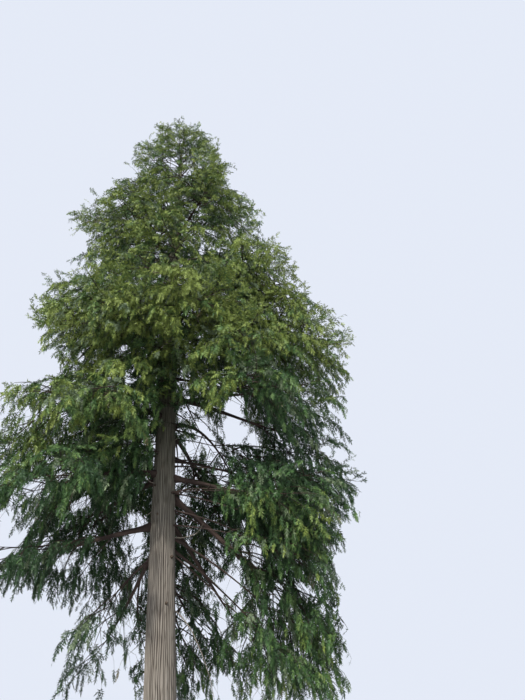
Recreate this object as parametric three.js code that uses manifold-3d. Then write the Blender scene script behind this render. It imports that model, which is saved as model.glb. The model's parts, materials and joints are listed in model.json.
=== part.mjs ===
// A tall, old Lawson cypress, from the flat cut at ground level to the nodding leader.
// Millimetres, +Z up, origin at the middle of the cut. +X is the tree's right and -Y its near side.
import * as THREE from "three";
import { mergeVertices } from "three/addons/utils/BufferGeometryUtils.js";
import Module from "manifold-3d";

const wasm = await Module();
wasm.setup();

const DEGREE = Math.PI / 180;

// Trunk
const TREE_HEIGHT = 32700;
const TRUNK_TOP = 31300; // the trunk ends here, and the leader grows on from it
const BUTT_RADIUS = 580;
const TOP_RADIUS = 30;
const TAPER_POWER = 0.8;
const FLARE_OUT = 190; // what the root flare adds at the ground
const FLARE_HEIGHT = 620;
const FLARE_RIDGES = 5;
const FLARE_RIDGE_DEPTH = 0.3; // share of the flare that its ridges rise and fall by
const LEAN = -760; // how far the trunk has moved over to the left at the top
const LEAN_HEIGHT = 11000; // most of the lean lies below this
const LEAN_ONSET = 1.5; // how late the lean begins above the ground
const SWAY = 170; // its slow bend towards and away from the near side
const TRUNK_SIDES = 14;
const TRUNK_RINGS = 18;
const RING_CROWDING = 1.5; // rings lie closer together towards the ground

// Limbs
const GAP = 0.3; // between a limb and the trunk, and between a stem and what it grows on
const BOUGH_SIDES = 5;
const BOUGH_STEPS = 3;
const BOUGH_THICKNESS = 0.0185; // radius at the trunk as a share of the reach
const BOUGH_END = 0.5; // radius as a share of that at the trunk, where the limb has thinned
const BOUGH_END_AT = 0.45; // share of the reach at which it has thinned to that
const LIMB_START = 0.3; // where its curve begins, as a share of the trunk's radius there
const STEM_SIDES = 3;
const STEM_STEPS = 4;
const STEM_TIP_RADIUS = 14;
const SWEEP = 13; // most degrees that a limb turns sideways on its way out
const HEIGHT_SHIFT = 200; // most that a limb leaves the trunk above or below its stated height
const REACH_VARIES = [0.95, 1.05];
const STEEP = 0.8; // upward share of a direction past which it is taken as upright

// Twigs
const TWIGS_IN_MASS = 4;
const TWIG_RADIUS = 32;
const TWIG_TIP_RADIUS = 18;
const TWIG_ANGLE = [38, 64]; // degrees between a stem and its twigs
const TWIG_TILT = [-50, 55]; // degrees that a twig lies under or over its stem's own plane
const WEEPING_TILT = 0.4; // share of that tilt on a weeping limb
const TWIG_SAG = [0.12, 0.55]; // drop by the end as a share of the length, without and with weeping
const FIRST_TWIG = 0.1; // share of the stem at which the first twig leaves it, and the last one
const LAST_TWIG = 0.9;
const OUTER_TWIG = 0.5; // length of the last twig as a share of the first
const TWIG_SIZES = [1, 0.88, 0.76, 0.64, 0.52]; // tried in turn until one finds room
const TWIG_LENGTH_VARIES = [0.85, 1.1];
const TWIG_SAG_VARIES = [0.8, 1.2];

// Sprays
const SPRAY_THICKNESS = 0.016; // half thickness at the middle, as a share of the length
const SPRAY_ROOT = 7; // from the middle line of its twig, inside it
const SPRAY_DROOP = [2, 72]; // degrees below level, without and with weeping
const SPRAY_DROOP_VARIES = 18;
const SPRAY_TURN_VARIES = 35;
const SPRAY_ROLL_VARIES = 60;
const STEM_SPRAYS = [0.3, 0.7]; // shares of the stem at which it has sprays of its own
const STEM_TIP_SPRAY = [0.985, 0.8]; // where the one at its tip sits, and its size
const TWIG_TIP_SPRAY = [0.97, [0.85, 1]]; // the same at a twig's tip
const TWIG_MIDDLE_SPRAY = [[0.35, 0.65], [0.75, 1]]; // and for the one under its middle
const TIP_WEEP = 0.85; // a tip's spray hangs less than the others, by this share
const SPRAY_SIZES = [1, 0.85, 0.7, 0.55]; // tried in turn until one finds room

// A spray's toothed outline: shares of its length along it and out to the side.
const SPRAY_OUTLINE = [
  [0, 0],
  [0.38, 0.3],
  [0.6, 0.14],
  [1, 0.02],
  [0.52, -0.27],
];
const SPRAY_MIDDLE = [0.48, 0];

// The space of a mass
const SPACE_GAP = 40; // each mass stays this far inside its own space
const CLEARANCE = 25; // between foliage and a limb that isn't its own
const SPINE_POINTS = 13;
const SPINE_HANG = 0.3; // share of a spray's length by which a spine lies under its stem
const SAMPLES = [0.4, 0.7, 1]; // shares of a twig or spray at which its place is tested
const SMALLEST_EDGE = 0.05;

// The lower crown, from the ground up. Each limb is its degrees from +X towards +Y, its height on
// the trunk and its own share of the tier's reach. rise is a limb's slope as it leaves the trunk,
// fall its drop by the tip and lift the upturn of its end, all as shares of the reach. bare is the
// share of the reach with no foliage.
const LOWER_TIERS = [
  {
    name: "lowest",
    limbs: [[22, 13000, 1.05], [50, 12100, 0.95], [84, 11900, 1], [112, 11500, 0.88]],
    reach: 6100, rise: -0.5, fall: -0.76, bare: 0.4,
  },
  {
    name: "curtain",
    limbs: [[156, 10700, 1]],
    reach: 2700, rise: -0.4, fall: -1.1, bare: 0.4,
  },
  {
    name: "arm",
    limbs: [[172, 11500, 1]],
    reach: 6200, rise: -0.16, fall: -0.3, bare: 0.24,
  },
  {
    name: "low",
    limbs: [[-8, 13500, 0.92], [96, 13300, 1], [146, 13200, 1], [204, 13600, 0.92]],
    reach: 5900, rise: -0.1, fall: -0.42, bare: 0.38,
  },
  {
    name: "middle",
    limbs: [
      [-36, 16200, 0.9], [16, 16500, 1], [64, 15500, 1],
      [118, 16000, 1], [168, 15500, 0.92], [216, 15800, 0.92],
    ],
    reach: 6000, rise: 0.05, fall: -0.36, bare: 0.34,
  },
  {
    name: "shoulder",
    limbs: [
      [-78, 18700, 1], [-10, 19900, 1.1], [40, 18700, 1.06],
      [114, 18800, 1], [190, 18900, 0.84], [240, 18300, 1],
    ],
    reach: 5350, rise: 0.2, fall: -0.24, bare: 0.3,
  },
];
const LIFT = 0.16;
const LIFT_POWER = 4; // how close to the tip the upturn is

// The upper crown: limbs that turn round the trunk as they climb, foliage and all, to its top.
const UPPER_LIMBS = 14;
const UPPER_HEIGHT = [20300, 29700];
const UPPER_REACH = 5050; // of the lowest of them
const UPPER_TIP = 32000; // height at which the reach comes down to nothing
const NARROWING = 0.82;
const UPPER_RISE = [0.3, 0.86];
const UPPER_FALL = [-0.1, 0.36];
const UPPER_FIRST = -165; // degrees from +X to the lowest of them, and from each to the next
const UPPER_TURN = 137.5;
const FULLER_SIDE = 0.12; // share of the reach that a limb gains towards +X and loses away from it

// One of them, on the left, has outgrown its neighbours.
const LONG_LIMB = 5; // counted from 0 at the lowest
const LONG_LIMB_HIGHER = 1100;
const LONG_LIMB_TURNED = 17; // degrees
const LONG_LIMB_SHARE = 1.3; // of the reach that its height would give it

// Twigs and sprays are shorter on a short limb, and weep less the higher their limb is.
const TWIG_LENGTH = [600, 2400];
const SPRAY_LENGTH = [850, 2900];
const LONG_REACH = 7000;
const WEEPING_HEIGHT = [30000, 12000];

// The leader stands on the trunk's top and nods over.
const LEADER_NOD = [260, -120];
const LEADER_TWIG_TURN = [3, 9]; // by a twig's own angle, and by its height in radians
const LEADER_TWIG_RISE = 0.5;

// Seeded series
const SEED_SPREAD = 2654435761;
const SERIES_FACTOR = 1664525;
const SERIES_STEP = 1013904223;
const SERIES_RANGE = 4294967296;
const LIMB_SEEDS = 7;
const MASS_SEEDS = [13, 5];

const BARK = new THREE.MeshStandardMaterial({ color: 0x8c7c68, roughness: 0.95, metalness: 0 });
const BOUGH_BARK = new THREE.MeshStandardMaterial({ color: 0x5b4438, roughness: 0.9, metalness: 0 });
const FOLIAGE = new THREE.MeshStandardMaterial({ color: 0x4c5f26, roughness: 0.8, metalness: 0 });

const UP = new THREE.Vector3(0, 0, 1);
const mix = (a, b, t) => a + (b - a) * t;
const share = (value, low, high) => (value - low) / (high - low);

// The next number of a seeded series, between low and high.
function seriesFrom(seed) {
  let state = Math.imul(seed + 1, SEED_SPREAD) >>> 0;
  return (low, high) => {
    state = (Math.imul(state, SERIES_FACTOR) + SERIES_STEP) >>> 0;
    return low + ((high - low) * state) / SERIES_RANGE;
  };
}

// Trunk
function trunkAxis(z) {
  const lean = LEAN * (1 - Math.exp(-Math.pow(z / LEAN_HEIGHT, LEAN_ONSET)));
  return new THREE.Vector3(lean, SWAY * Math.sin((2 * Math.PI * z) / TREE_HEIGHT), z);
}

function trunkRadius(z) {
  const left = Math.max(0, 1 - z / TRUNK_TOP);
  return TOP_RADIUS + (BUTT_RADIUS - TOP_RADIUS) * Math.pow(left, TAPER_POWER);
}

function rootFlare(z, angle) {
  const ridges = 1 + FLARE_RIDGE_DEPTH * Math.cos(FLARE_RIDGES * angle);
  return FLARE_OUT * Math.exp(-z / FLARE_HEIGHT) * ridges;
}

// The trunk's skin, or one that lies grown millimetres outside it.
function trunkShape(grown) {
  const shape = new THREE.CylinderGeometry(1, 1, 1, TRUNK_SIDES, TRUNK_RINGS);
  const places = shape.getAttribute("position");
  for (let i = 0; i < places.count; i++) {
    const z = TRUNK_TOP * Math.pow(places.getY(i) + 0.5, RING_CROWDING);
    const angle = Math.atan2(-places.getZ(i), places.getX(i));
    const isRim = Math.hypot(places.getX(i), places.getZ(i)) > 0.5;
    const radius = isRim ? trunkRadius(z) + rootFlare(z, angle) + grown : 0;
    const middle = trunkAxis(z);
    const place = [middle.x + radius * Math.cos(angle), middle.y + radius * Math.sin(angle)];
    places.setXYZ(i, ...place, z < TRUNK_TOP ? z : z + grown);
  }
  return shape;
}

// A tapering tube of a few sides along a curve.
function limbShape(sides, steps, placeAt, radiusAt) {
  const shape = new THREE.CylinderGeometry(1, 1, 1, sides, steps);
  const places = shape.getAttribute("position");
  for (let i = 0; i < places.count; i++) {
    const along = places.getY(i) + 0.5;
    const { side, up } = frameAt(placeAt, along);
    const radius = radiusAt(along);
    const place = placeAt(along).addScaledVector(side, -places.getX(i) * radius);
    place.addScaledVector(up, places.getZ(i) * radius);
    places.setXYZ(i, place.x, place.y, place.z);
  }
  return shape;
}

// The direction of a curve, and two directions across it.
function frameAt(placeAt, along) {
  const step = 0.001;
  const ahead = placeAt(along + step).sub(placeAt(along - step)).normalize();
  const reference = Math.abs(ahead.z) > STEEP ? new THREE.Vector3(1, 0, 0) : UP.clone();
  const side = reference.cross(ahead).normalize();
  return { ahead, side, up: ahead.clone().cross(side) };
}

// Limbs
function makeLimb(limbs, label, azimuth, height, shape) {
  const next = seriesFrom(limbs.length * LIMB_SEEDS);
  const reach = shape.reach * next(...REACH_VARIES);
  const size = shape.isLeader ? 0 : Math.min(1, reach / LONG_REACH);
  limbs.push({
    ...shape,
    label,
    azimuth,
    reach,
    seed: limbs.length,
    height: height + next(-HEIGHT_SHIFT, HEIGHT_SHIFT),
    sweep: next(-SWEEP, SWEEP),
    thickness: shape.reach * BOUGH_THICKNESS,
    twigLength: mix(...TWIG_LENGTH, size),
    sprayLength: mix(...SPRAY_LENGTH, size),
    weep: Math.min(1, Math.max(0, share(height, ...WEEPING_HEIGHT))),
  });
}

function makeLimbs() {
  const limbs = [];
  for (const { name, limbs: places, ...shape } of LOWER_TIERS) {
    places.forEach(([azimuth, height, ownShare], i) => {
      const label = places.length > 1 ? `${name}_${i + 1}` : name;
      makeLimb(limbs, label, azimuth, height, { ...shape, reach: shape.reach * ownShare });
    });
  }
  for (let i = 0; i < UPPER_LIMBS; i++) {
    const up = i / (UPPER_LIMBS - 1);
    const isLong = i === LONG_LIMB;
    const height = mix(...UPPER_HEIGHT, up) + (isLong ? LONG_LIMB_HIGHER : 0);
    const azimuth = UPPER_FIRST + i * UPPER_TURN + (isLong ? LONG_LIMB_TURNED : 0);
    const fuller = 1 + FULLER_SIDE * Math.cos(azimuth * DEGREE);
    const narrowing = Math.pow(share(height, UPPER_TIP, UPPER_HEIGHT[0]), NARROWING);
    const reach = UPPER_REACH * fuller * narrowing * (isLong ? LONG_LIMB_SHARE : 1);
    const shape = { reach, rise: mix(...UPPER_RISE, up), fall: mix(...UPPER_FALL, up), bare: 0 };
    makeLimb(limbs, `upper_${i + 1}`, azimuth, height, shape);
  }
  makeLimb(limbs, "leader", 0, TRUNK_TOP, { reach: TREE_HEIGHT - TRUNK_TOP, isLeader: true });
  return limbs;
}

function limbPlace(limb, t) {
  const turn = (limb.azimuth + limb.sweep * t * t) * DEGREE;
  const out = limb.reach * t;
  const climb = limb.rise * t * (1 - t) + limb.fall * t * t + LIFT * Math.pow(t, LIFT_POWER);
  const place = new THREE.Vector3(out * Math.cos(turn), out * Math.sin(turn), limb.reach * climb);
  return place.add(trunkAxis(limb.height));
}

function limbRadius(limb, t) {
  return Math.max(STEM_TIP_RADIUS, limb.thickness * mix(1, BOUGH_END, t / BOUGH_END_AT));
}

// A limb starts inside the trunk, and is then cut clear of it.
function limbStart(limb) {
  return (LIMB_START * trunkRadius(limb.height)) / limb.reach;
}

// The stem of a mass runs from its bough's end, or from the trunk, to the furthest tip.
function stemPlace(limb, t) {
  if (!limb.isLeader) return limbPlace(limb, mix(limb.from, 1, t));
  const [right, away] = LEADER_NOD;
  const z = mix(TRUNK_TOP - TOP_RADIUS, TREE_HEIGHT, t);
  return trunkAxis(z).add(new THREE.Vector3(right * t * t, away * t * t, 0));
}

// A place on the middle line of the stem's solid, which is straight between its rings.
function onStem(limb, t) {
  const ring = Math.min(STEM_STEPS - 1, Math.floor(t * STEM_STEPS));
  const from = stemPlace(limb, ring / STEM_STEPS);
  const to = stemPlace(limb, (ring + 1) / STEM_STEPS);
  return from.lerp(to, t * STEM_STEPS - ring);
}

function stemRadius(limb, t) {
  if (limb.isLeader) return mix(TOP_RADIUS, STEM_TIP_RADIUS, t);
  return limbRadius(limb, mix(limb.from, 1, t));
}

// Solids
function solidOf(shape) {
  shape.deleteAttribute("normal");
  shape.deleteAttribute("uv");
  const welded = mergeVertices(shape, 0.01);
  const vertProperties = Float32Array.from(welded.getAttribute("position").array);
  const triVerts = Uint32Array.from(welded.index.array);
  return new wasm.Manifold(new wasm.Mesh({ numProp: 3, vertProperties, triVerts }));
}

function meshOf(solid, name, material) {
  const made = solid.getMesh();
  const geometry = new THREE.BufferGeometry();
  geometry.setAttribute("position", new THREE.BufferAttribute(Float32Array.from(made.vertProperties), 3));
  geometry.setIndex(new THREE.BufferAttribute(Uint32Array.from(made.triVerts), 1));
  geometry.computeVertexNormals();
  const mesh = new THREE.Mesh(geometry, material);
  mesh.name = name;
  return mesh;
}

function boxesMeet(a, b) {
  return [0, 1, 2].every((k) => a.min[k] <= b.max[k] && b.min[k] <= a.max[k]);
}

function touches(solid, other) {
  return boxesMeet(solid.boundingBox(), other.boundingBox()) && !solid.intersect(other).isEmpty();
}

// A flat, toothed spray: a two-sided blade that is thickest at its middle.
function sprayShape(root, ahead, normal, length) {
  const sides = SPRAY_OUTLINE.length;
  const shape = new THREE.SphereGeometry(1, sides, 2);
  const places = shape.getAttribute("position");
  const side = ahead.clone().cross(normal);
  for (let i = 0; i < places.count; i++) {
    const row = Math.floor(i / (sides + 1));
    const [along, out] = row === 1 ? SPRAY_OUTLINE[(i % (sides + 1)) % sides] : SPRAY_MIDDLE;
    const raised = (1 - row) * SPRAY_THICKNESS;
    const place = root.clone().addScaledVector(ahead, along * length);
    place.addScaledVector(side, out * length);
    place.addScaledVector(normal, raised * length);
    places.setXYZ(i, place.x, place.y, place.z);
  }
  return shape;
}

// The space of a mass is the air that is nearer to its own spine, which hangs under its stem,
// than to any other.
function spineOf(limb) {
  return Array.from({ length: SPINE_POINTS }, (_, i) => {
    const place = stemPlace(limb, i / (SPINE_POINTS - 1));
    return place.setZ(place.z - limb.sprayLength * SPINE_HANG * limb.weep);
  });
}

function isInSpace(place, limb, limbs) {
  const own = Math.min(...limb.spine.map((p) => p.distanceTo(place)));
  const isFar = (p) => p.distanceTo(place) > own + SPACE_GAP;
  return limbs.every((other) => other === limb || other.spine.every(isFar));
}

// Twigs leave the stem to left and right in turn and droop. Sprays hang along them and at their
// ends. What would leave the mass's space, or touch anything but what it is rooted in, is left out.
function growMass(limb, limbs, obstacles) {
  const next = seriesFrom(limb.seed * MASS_SEEDS[0] + MASS_SEEDS[1]);
  const onCurve = (t) => stemPlace(limb, t);
  const stem = limbShape(STEM_SIDES, STEM_STEPS, onCurve, (t) => stemRadius(limb, t));
  const pieces = [solidOf(stem)];

  function add(shape, rootedIn, samples) {
    if (!samples.every((p) => p.z > 0 && isInSpace(p, limb, limbs))) return false;
    const piece = solidOf(shape);
    if (obstacles.some((other) => other.limb !== limb && touches(piece, other.solid))) return false;
    if (pieces.some((other) => other !== rootedIn && touches(piece, other))) return false;
    return pieces.push(piece);
  }

  function growTwig(t, side, size) {
    const { ahead } = frameAt(onCurve, t);
    const across = UP.clone().cross(ahead).normalize().multiplyScalar(side);
    const tilt = next(...TWIG_TILT) * mix(1, WEEPING_TILT, limb.weep) * DEGREE;
    across.multiplyScalar(Math.cos(tilt)).addScaledVector(UP, Math.sin(tilt));
    const turn = next(...TWIG_ANGLE) * DEGREE;
    const heading = ahead.clone().multiplyScalar(Math.cos(turn)).addScaledVector(across, Math.sin(turn));
    if (limb.isLeader) {
      const round = turn * LEADER_TWIG_TURN[0] + t * LEADER_TWIG_TURN[1];
      heading.set(Math.cos(round), Math.sin(round), LEADER_TWIG_RISE);
    }
    heading.normalize();
    const length = limb.twigLength * size * mix(1, OUTER_TWIG, t) * next(...TWIG_LENGTH_VARIES);
    const sag = mix(...TWIG_SAG, limb.weep) * next(...TWIG_SAG_VARIES);
    const end = onStem(limb, t).addScaledVector(heading, length).addScaledVector(UP, -length * sag);
    const placeAt = (s) => onStem(limb, t).lerp(end, s);
    const shape = limbShape(STEM_SIDES, 1, placeAt, (s) => mix(TWIG_RADIUS, TWIG_TIP_RADIUS, s));
    if (!add(shape, pieces[0], SAMPLES.map(placeAt))) return undefined;
    return { placeAt, heading, solid: pieces.at(-1) };
  }

  function growSpray(twig, t, weep, length) {
    for (const size of SPRAY_SIZES) {
      const droop = (mix(...SPRAY_DROOP, weep) + next(-1, 1) * SPRAY_DROOP_VARIES) * DEGREE;
      const turned = twig.heading.clone().setZ(0).normalize();
      turned.applyAxisAngle(UP, next(-1, 1) * SPRAY_TURN_VARIES * DEGREE);
      const ahead = turned.clone().multiplyScalar(Math.cos(droop)).setZ(-Math.sin(droop));
      const normal = turned.clone().multiplyScalar(Math.sin(droop)).setZ(Math.cos(droop));
      normal.applyAxisAngle(ahead, next(-1, 1) * SPRAY_ROLL_VARIES * DEGREE);
      const root = twig.placeAt(t).addScaledVector(ahead, SPRAY_ROOT);
      const samples = SAMPLES.map((s) => root.clone().addScaledVector(ahead, length * size * s));
      if (add(sprayShape(root, ahead, normal, length * size), twig.solid, samples)) return;
    }
  }

  const tipWeep = limb.weep * TIP_WEEP;
  const heading = frameAt(onCurve, 1).ahead;
  const stemAsTwig = { placeAt: (t) => onStem(limb, t), heading, solid: pieces[0] };
  growSpray(stemAsTwig, STEM_TIP_SPRAY[0], tipWeep, limb.sprayLength * STEM_TIP_SPRAY[1]);
  const twigs = [];
  for (let i = 0; i < TWIGS_IN_MASS; i++) {
    const t = mix(FIRST_TWIG, LAST_TWIG, i / (TWIGS_IN_MASS - 1));
    for (const size of TWIG_SIZES) {
      const twig = growTwig(t, i % 2 ? 1 : -1, size);
      if (!twig) continue;
      twigs.push(twig);
      break;
    }
  }
  for (const t of STEM_SPRAYS) growSpray(stemAsTwig, t, limb.weep, limb.sprayLength);
  for (const twig of twigs) {
    growSpray(twig, TWIG_TIP_SPRAY[0], tipWeep, limb.sprayLength * next(...TWIG_TIP_SPRAY[1]));
    const middle = next(...TWIG_MIDDLE_SPRAY[0]);
    growSpray(twig, middle, limb.weep, limb.sprayLength * next(...TWIG_MIDDLE_SPRAY[1]));
  }

  const bodies = wasm.Manifold.union(pieces).simplify(SMALLEST_EDGE).decompose();
  return bodies.sort((a, b) => b.volume() - a.volume())[0];
}

function makeTree() {
  const tree = new THREE.Group();
  tree.name = "lawson_cypress";
  const limbs = makeLimbs();
  const trunk = solidOf(trunkShape(0));
  const aroundTrunk = solidOf(trunkShape(GAP));
  tree.add(meshOf(trunk, "trunk", BARK));

  const obstacles = [{ solid: solidOf(trunkShape(CLEARANCE)) }];
  for (const limb of limbs) {
    if (limb.isLeader) continue;
    const start = limbStart(limb);
    limb.from = start;
    if (!limb.bare) continue;
    const placeAt = (t) => limbPlace(limb, mix(start, limb.bare, t));
    const radiusAt = (t) => limbRadius(limb, mix(start, limb.bare, t));
    const bough = solidOf(limbShape(BOUGH_SIDES, BOUGH_STEPS, placeAt, radiusAt));
    tree.add(meshOf(bough.subtract(aroundTrunk), `bough_${limb.label}`, BOUGH_BARK));
    const grown = limbShape(BOUGH_SIDES, BOUGH_STEPS, placeAt, (t) => radiusAt(t) + CLEARANCE);
    obstacles.push({ limb, solid: solidOf(grown) });
    limb.from = limb.bare + GAP / limb.reach;
  }
  for (const limb of limbs) limb.spine = spineOf(limb);
  for (const limb of limbs) {
    const mass = growMass(limb, limbs, obstacles);
    const clear = limb.bare ? mass : mass.subtract(aroundTrunk);
    tree.add(meshOf(clear, `foliage_${limb.label}`, FOLIAGE));
  }
  return tree;
}

export default makeTree();
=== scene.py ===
import json
import math

import bmesh
import bpy
import numpy as np
from mathutils import Matrix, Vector
from mathutils.bvhtree import BVHTree

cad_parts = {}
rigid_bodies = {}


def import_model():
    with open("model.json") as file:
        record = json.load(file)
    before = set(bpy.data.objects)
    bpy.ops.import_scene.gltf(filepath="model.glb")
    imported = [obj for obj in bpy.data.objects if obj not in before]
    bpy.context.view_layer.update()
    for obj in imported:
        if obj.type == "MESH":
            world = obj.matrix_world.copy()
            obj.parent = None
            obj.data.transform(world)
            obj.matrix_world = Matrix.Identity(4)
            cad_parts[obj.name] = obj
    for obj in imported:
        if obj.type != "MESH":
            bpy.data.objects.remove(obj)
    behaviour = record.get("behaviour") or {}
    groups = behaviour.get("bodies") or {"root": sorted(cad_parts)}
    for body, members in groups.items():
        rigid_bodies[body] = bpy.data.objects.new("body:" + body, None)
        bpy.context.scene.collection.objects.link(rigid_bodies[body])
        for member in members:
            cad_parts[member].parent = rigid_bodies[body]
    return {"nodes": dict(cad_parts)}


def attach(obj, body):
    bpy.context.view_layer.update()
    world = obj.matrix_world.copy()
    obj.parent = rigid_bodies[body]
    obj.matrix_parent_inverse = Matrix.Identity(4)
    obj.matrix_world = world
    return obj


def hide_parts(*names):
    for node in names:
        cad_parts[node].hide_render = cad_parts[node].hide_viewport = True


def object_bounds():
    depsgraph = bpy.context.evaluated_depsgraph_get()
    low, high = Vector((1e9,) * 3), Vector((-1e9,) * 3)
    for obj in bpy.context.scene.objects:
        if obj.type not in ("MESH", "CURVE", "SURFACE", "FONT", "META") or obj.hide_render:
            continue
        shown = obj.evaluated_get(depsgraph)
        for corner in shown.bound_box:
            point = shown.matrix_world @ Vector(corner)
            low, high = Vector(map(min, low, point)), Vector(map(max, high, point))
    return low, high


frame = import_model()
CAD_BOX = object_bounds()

# Trunk, as in the part
TREE_HEIGHT = 32.7
TRUNK_TOP = 31.3
BUTT_RADIUS = 0.58
TOP_RADIUS = 0.03
TAPER_POWER = 0.8
FLARE_OUT = 0.19
FLARE_HEIGHT = 0.62
FLARE_RIDGES = 5
FLARE_RIDGE_DEPTH = 0.3
LEAN = -0.76
LEAN_HEIGHT = 11.0
LEAN_ONSET = 1.5
SWAY = 0.17

# Limbs, as in the part
BOUGH_THICKNESS = 0.0185
BOUGH_END = 0.5
BOUGH_END_AT = 0.45
LIMB_START = 0.3
LIMB_TIP_RADIUS = 0.012
SWEEP = 13
HEIGHT_SHIFT = 0.2
REACH_VARIES = (0.95, 1.05)
LIFT = 0.16
LIFT_POWER = 4
LOWER_TIERS = [
    dict(name="lowest", limbs=[(22, 13.0, 1.05), (50, 12.1, 0.95), (84, 11.9, 1), (112, 11.5, 0.88)],
         reach=6.1, rise=-0.5, fall=-0.76, bare=0.4),
    dict(name="curtain", limbs=[(156, 10.7, 1)], reach=2.7, rise=-0.4, fall=-1.1, bare=0.4),
    dict(name="arm", limbs=[(172, 11.5, 1)], reach=6.2, rise=-0.16, fall=-0.3, bare=0.24),
    dict(name="low", limbs=[(-8, 13.5, 0.92), (96, 13.3, 1), (146, 13.2, 1), (204, 13.6, 0.92)],
         reach=5.9, rise=-0.1, fall=-0.42, bare=0.38),
    dict(name="middle", limbs=[(-36, 16.2, 0.9), (16, 16.5, 1), (64, 15.5, 1),
                               (118, 16.0, 1), (168, 15.5, 0.92), (216, 15.8, 0.92)],
         reach=6.0, rise=0.05, fall=-0.36, bare=0.34),
    dict(name="shoulder", limbs=[(-78, 18.7, 1), (-10, 19.9, 1.1), (40, 18.7, 1.06),
                                 (114, 18.8, 1), (190, 18.9, 0.84), (240, 18.3, 1)],
         reach=5.35, rise=0.2, fall=-0.24, bare=0.3),
]
UPPER_LIMBS = 14
UPPER_HEIGHT = (20.3, 29.7)
UPPER_REACH = 5.05
UPPER_TIP = 32.0
NARROWING = 0.82
UPPER_RISE = (0.3, 0.86)
UPPER_FALL = (-0.1, 0.36)
UPPER_FIRST = -165
UPPER_TURN = 137.5
FULLER_SIDE = 0.12
LONG_LIMB = 5
LONG_LIMB_HIGHER = 1.1
LONG_LIMB_TURNED = 17
LONG_LIMB_SHARE = 1.3
TWIG_LENGTH = (0.6, 2.4)
SPRAY_LENGTH = (0.85, 2.9)
LONG_REACH = 7.0
WEEPING_HEIGHT = (30.0, 12.0)
LEADER_NOD = (0.26, -0.12)
SEED_SPREAD = 2654435761
SERIES_FACTOR = 1664525
SERIES_STEP = 1013904223
SERIES_RANGE = 2 ** 32
LIMB_SEEDS = 7

# Forks leave each limb of the part to left and right in turn, at a share of its reach, and
# thinner limbs stand between them: round the upper crown, and in sectors of the lower tiers.
ADDED = ("fill", "fork", "arch", "shoot")
SCATTER = 0.618
FORKS = dict(start=(0.3, 0.58), end=(0.84, 1.0), turn=(10, 34), lift=(-0.2, 0.12), slim=0.62, bare=0.06)
FORK_COUNTS = (3, 5)
FULLEST_SECTOR = (-60, 75)
FILL_THICKNESS = 0.5
LOW_FILL_THICKNESS = 0.24
UPPER_FILL = dict(count=50, height=(19.0, 31.8), reach=(0.6, 0.96), longer=0.3, first=40, turn=99.5,
                  bare=0.2)

# Count, heights, sector in degrees, reach, rise, fall and share with no foliage
FILL_TIERS = [
    (4, (17.4, 19.6), (-50, 66), (5.6, 6.7), 0.12, -0.32, 0.3),
    (4, (12.4, 14.8), (-46, 72), (5.4, 6.7), -0.05, -0.42, 0.36),
    (3, (15.2, 17.4), (14, 62), (5.8, 6.8), 0.0, -0.36, 0.42),
    (3, (11.6, 13.0), (-26, 52), (5.6, 6.7), -0.15, -0.45, 0.4),
    (3, (10.8, 12.4), (-22, 24), (5.8, 6.7), -0.2, -0.62, 0.45),
    (5, (11.0, 12.0), (-16, 48), (4.6, 6.4), -0.5, -1.06, 0.5),
    (5, (13.0, 18.2), (72, 250), (4.8, 6.2), 0, -0.4, 0.36),
    (12, (16.0, 20.0), (-142, -38), (2.6, 4.6), 0.15, -0.42, 0.08),
    (10, (13.0, 16.2), (182, 240), (1.8, 3.5), 0.15, -0.38, 0.08),
    (5, (12.6, 15.2), (-34, 40), (5.0, 6.0), 0.0, -0.36, 0.42),
]

# Limbs that arch over: degrees, height, reach, rise, fall, share with no foliage and slimness
ARCHING_LIMBS = [
    (4, 15.15, 3.5, 0.75, -1.35, 0.5, 1.3), (66, 18.0, 4.6, -0.1, -0.5, 0.4, 0.7),
    (74, 16.1, 4.6, -0.1, -0.5, 0.4, 0.7), (183, 25.9, 4.9, 0.5, 0.38, 0.4, 0.6),
    (178, 24.2, 5.1, 0.4, 0.0, 0.4, 0.6), (-160, 28.3, 2.9, 0.9, 0.5, 0.3, 0.6),
    (-148, 29.9, 1.5, 0.9, 0.9, 0.3, 0.6), (-95, 29.4, 1.3, 0.9, 0.8, 0.3, 0.6),
    (-50, 29.7, 1.7, 0.9, 0.85, 0.3, 0.6), (-30, 29.2, 2.2, 0.9, 0.75, 0.3, 0.6),
    (-15, 28.0, 2.7, 0.7, 0.35, 0.3, 0.6), (12, 11.3, 6.3, -0.4, -0.72, 0.5, 0.4),
    (26, 11.2, 6.6, -0.4, -0.78, 0.5, 0.4), (18, 10.9, 4.2, -0.5, -0.9, 0.45, 0.4),
    (8, 14.0, 7.3, 0.0, -0.28, 0.45, 0.4), (10, 17.7, 6.8, 0.1, -0.26, 0.45, 0.4),
    (186, 16.6, 6.3, 0.1, -0.1, 0.5, 0.4), (176, 16.5, 5.3, 0.15, 0.02, 0.5, 0.4),
]

# Leafy shoots on the trunk: degrees, height and reach
SHOOTS = [(178, 14.9, 0.9), (-20, 15.3, 1.0), (-118, 16.6, 1.2), (-84, 16.4, 0.9), (-100, 17.2, 1.3),
          (-62, 15.4, 0.6), (-130, 14.4, 0.6)]
SHOOT_SHAPE = dict(rise=0.3, fall=-0.7, bare=0.05, slim=0.8)

# Boughs with fine branches further in than the rest: share of the reach with none
DRESSED = {"lowest_4": 0.14, "curtain": 0.14}

# Share of the branchlets that a limb keeps, where the crown is thin
THIN_LIMBS = {"lowest_4": 0.26, "curtain": 0.34, "lowest_3": 0.5, "arm": 0.55}

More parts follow.
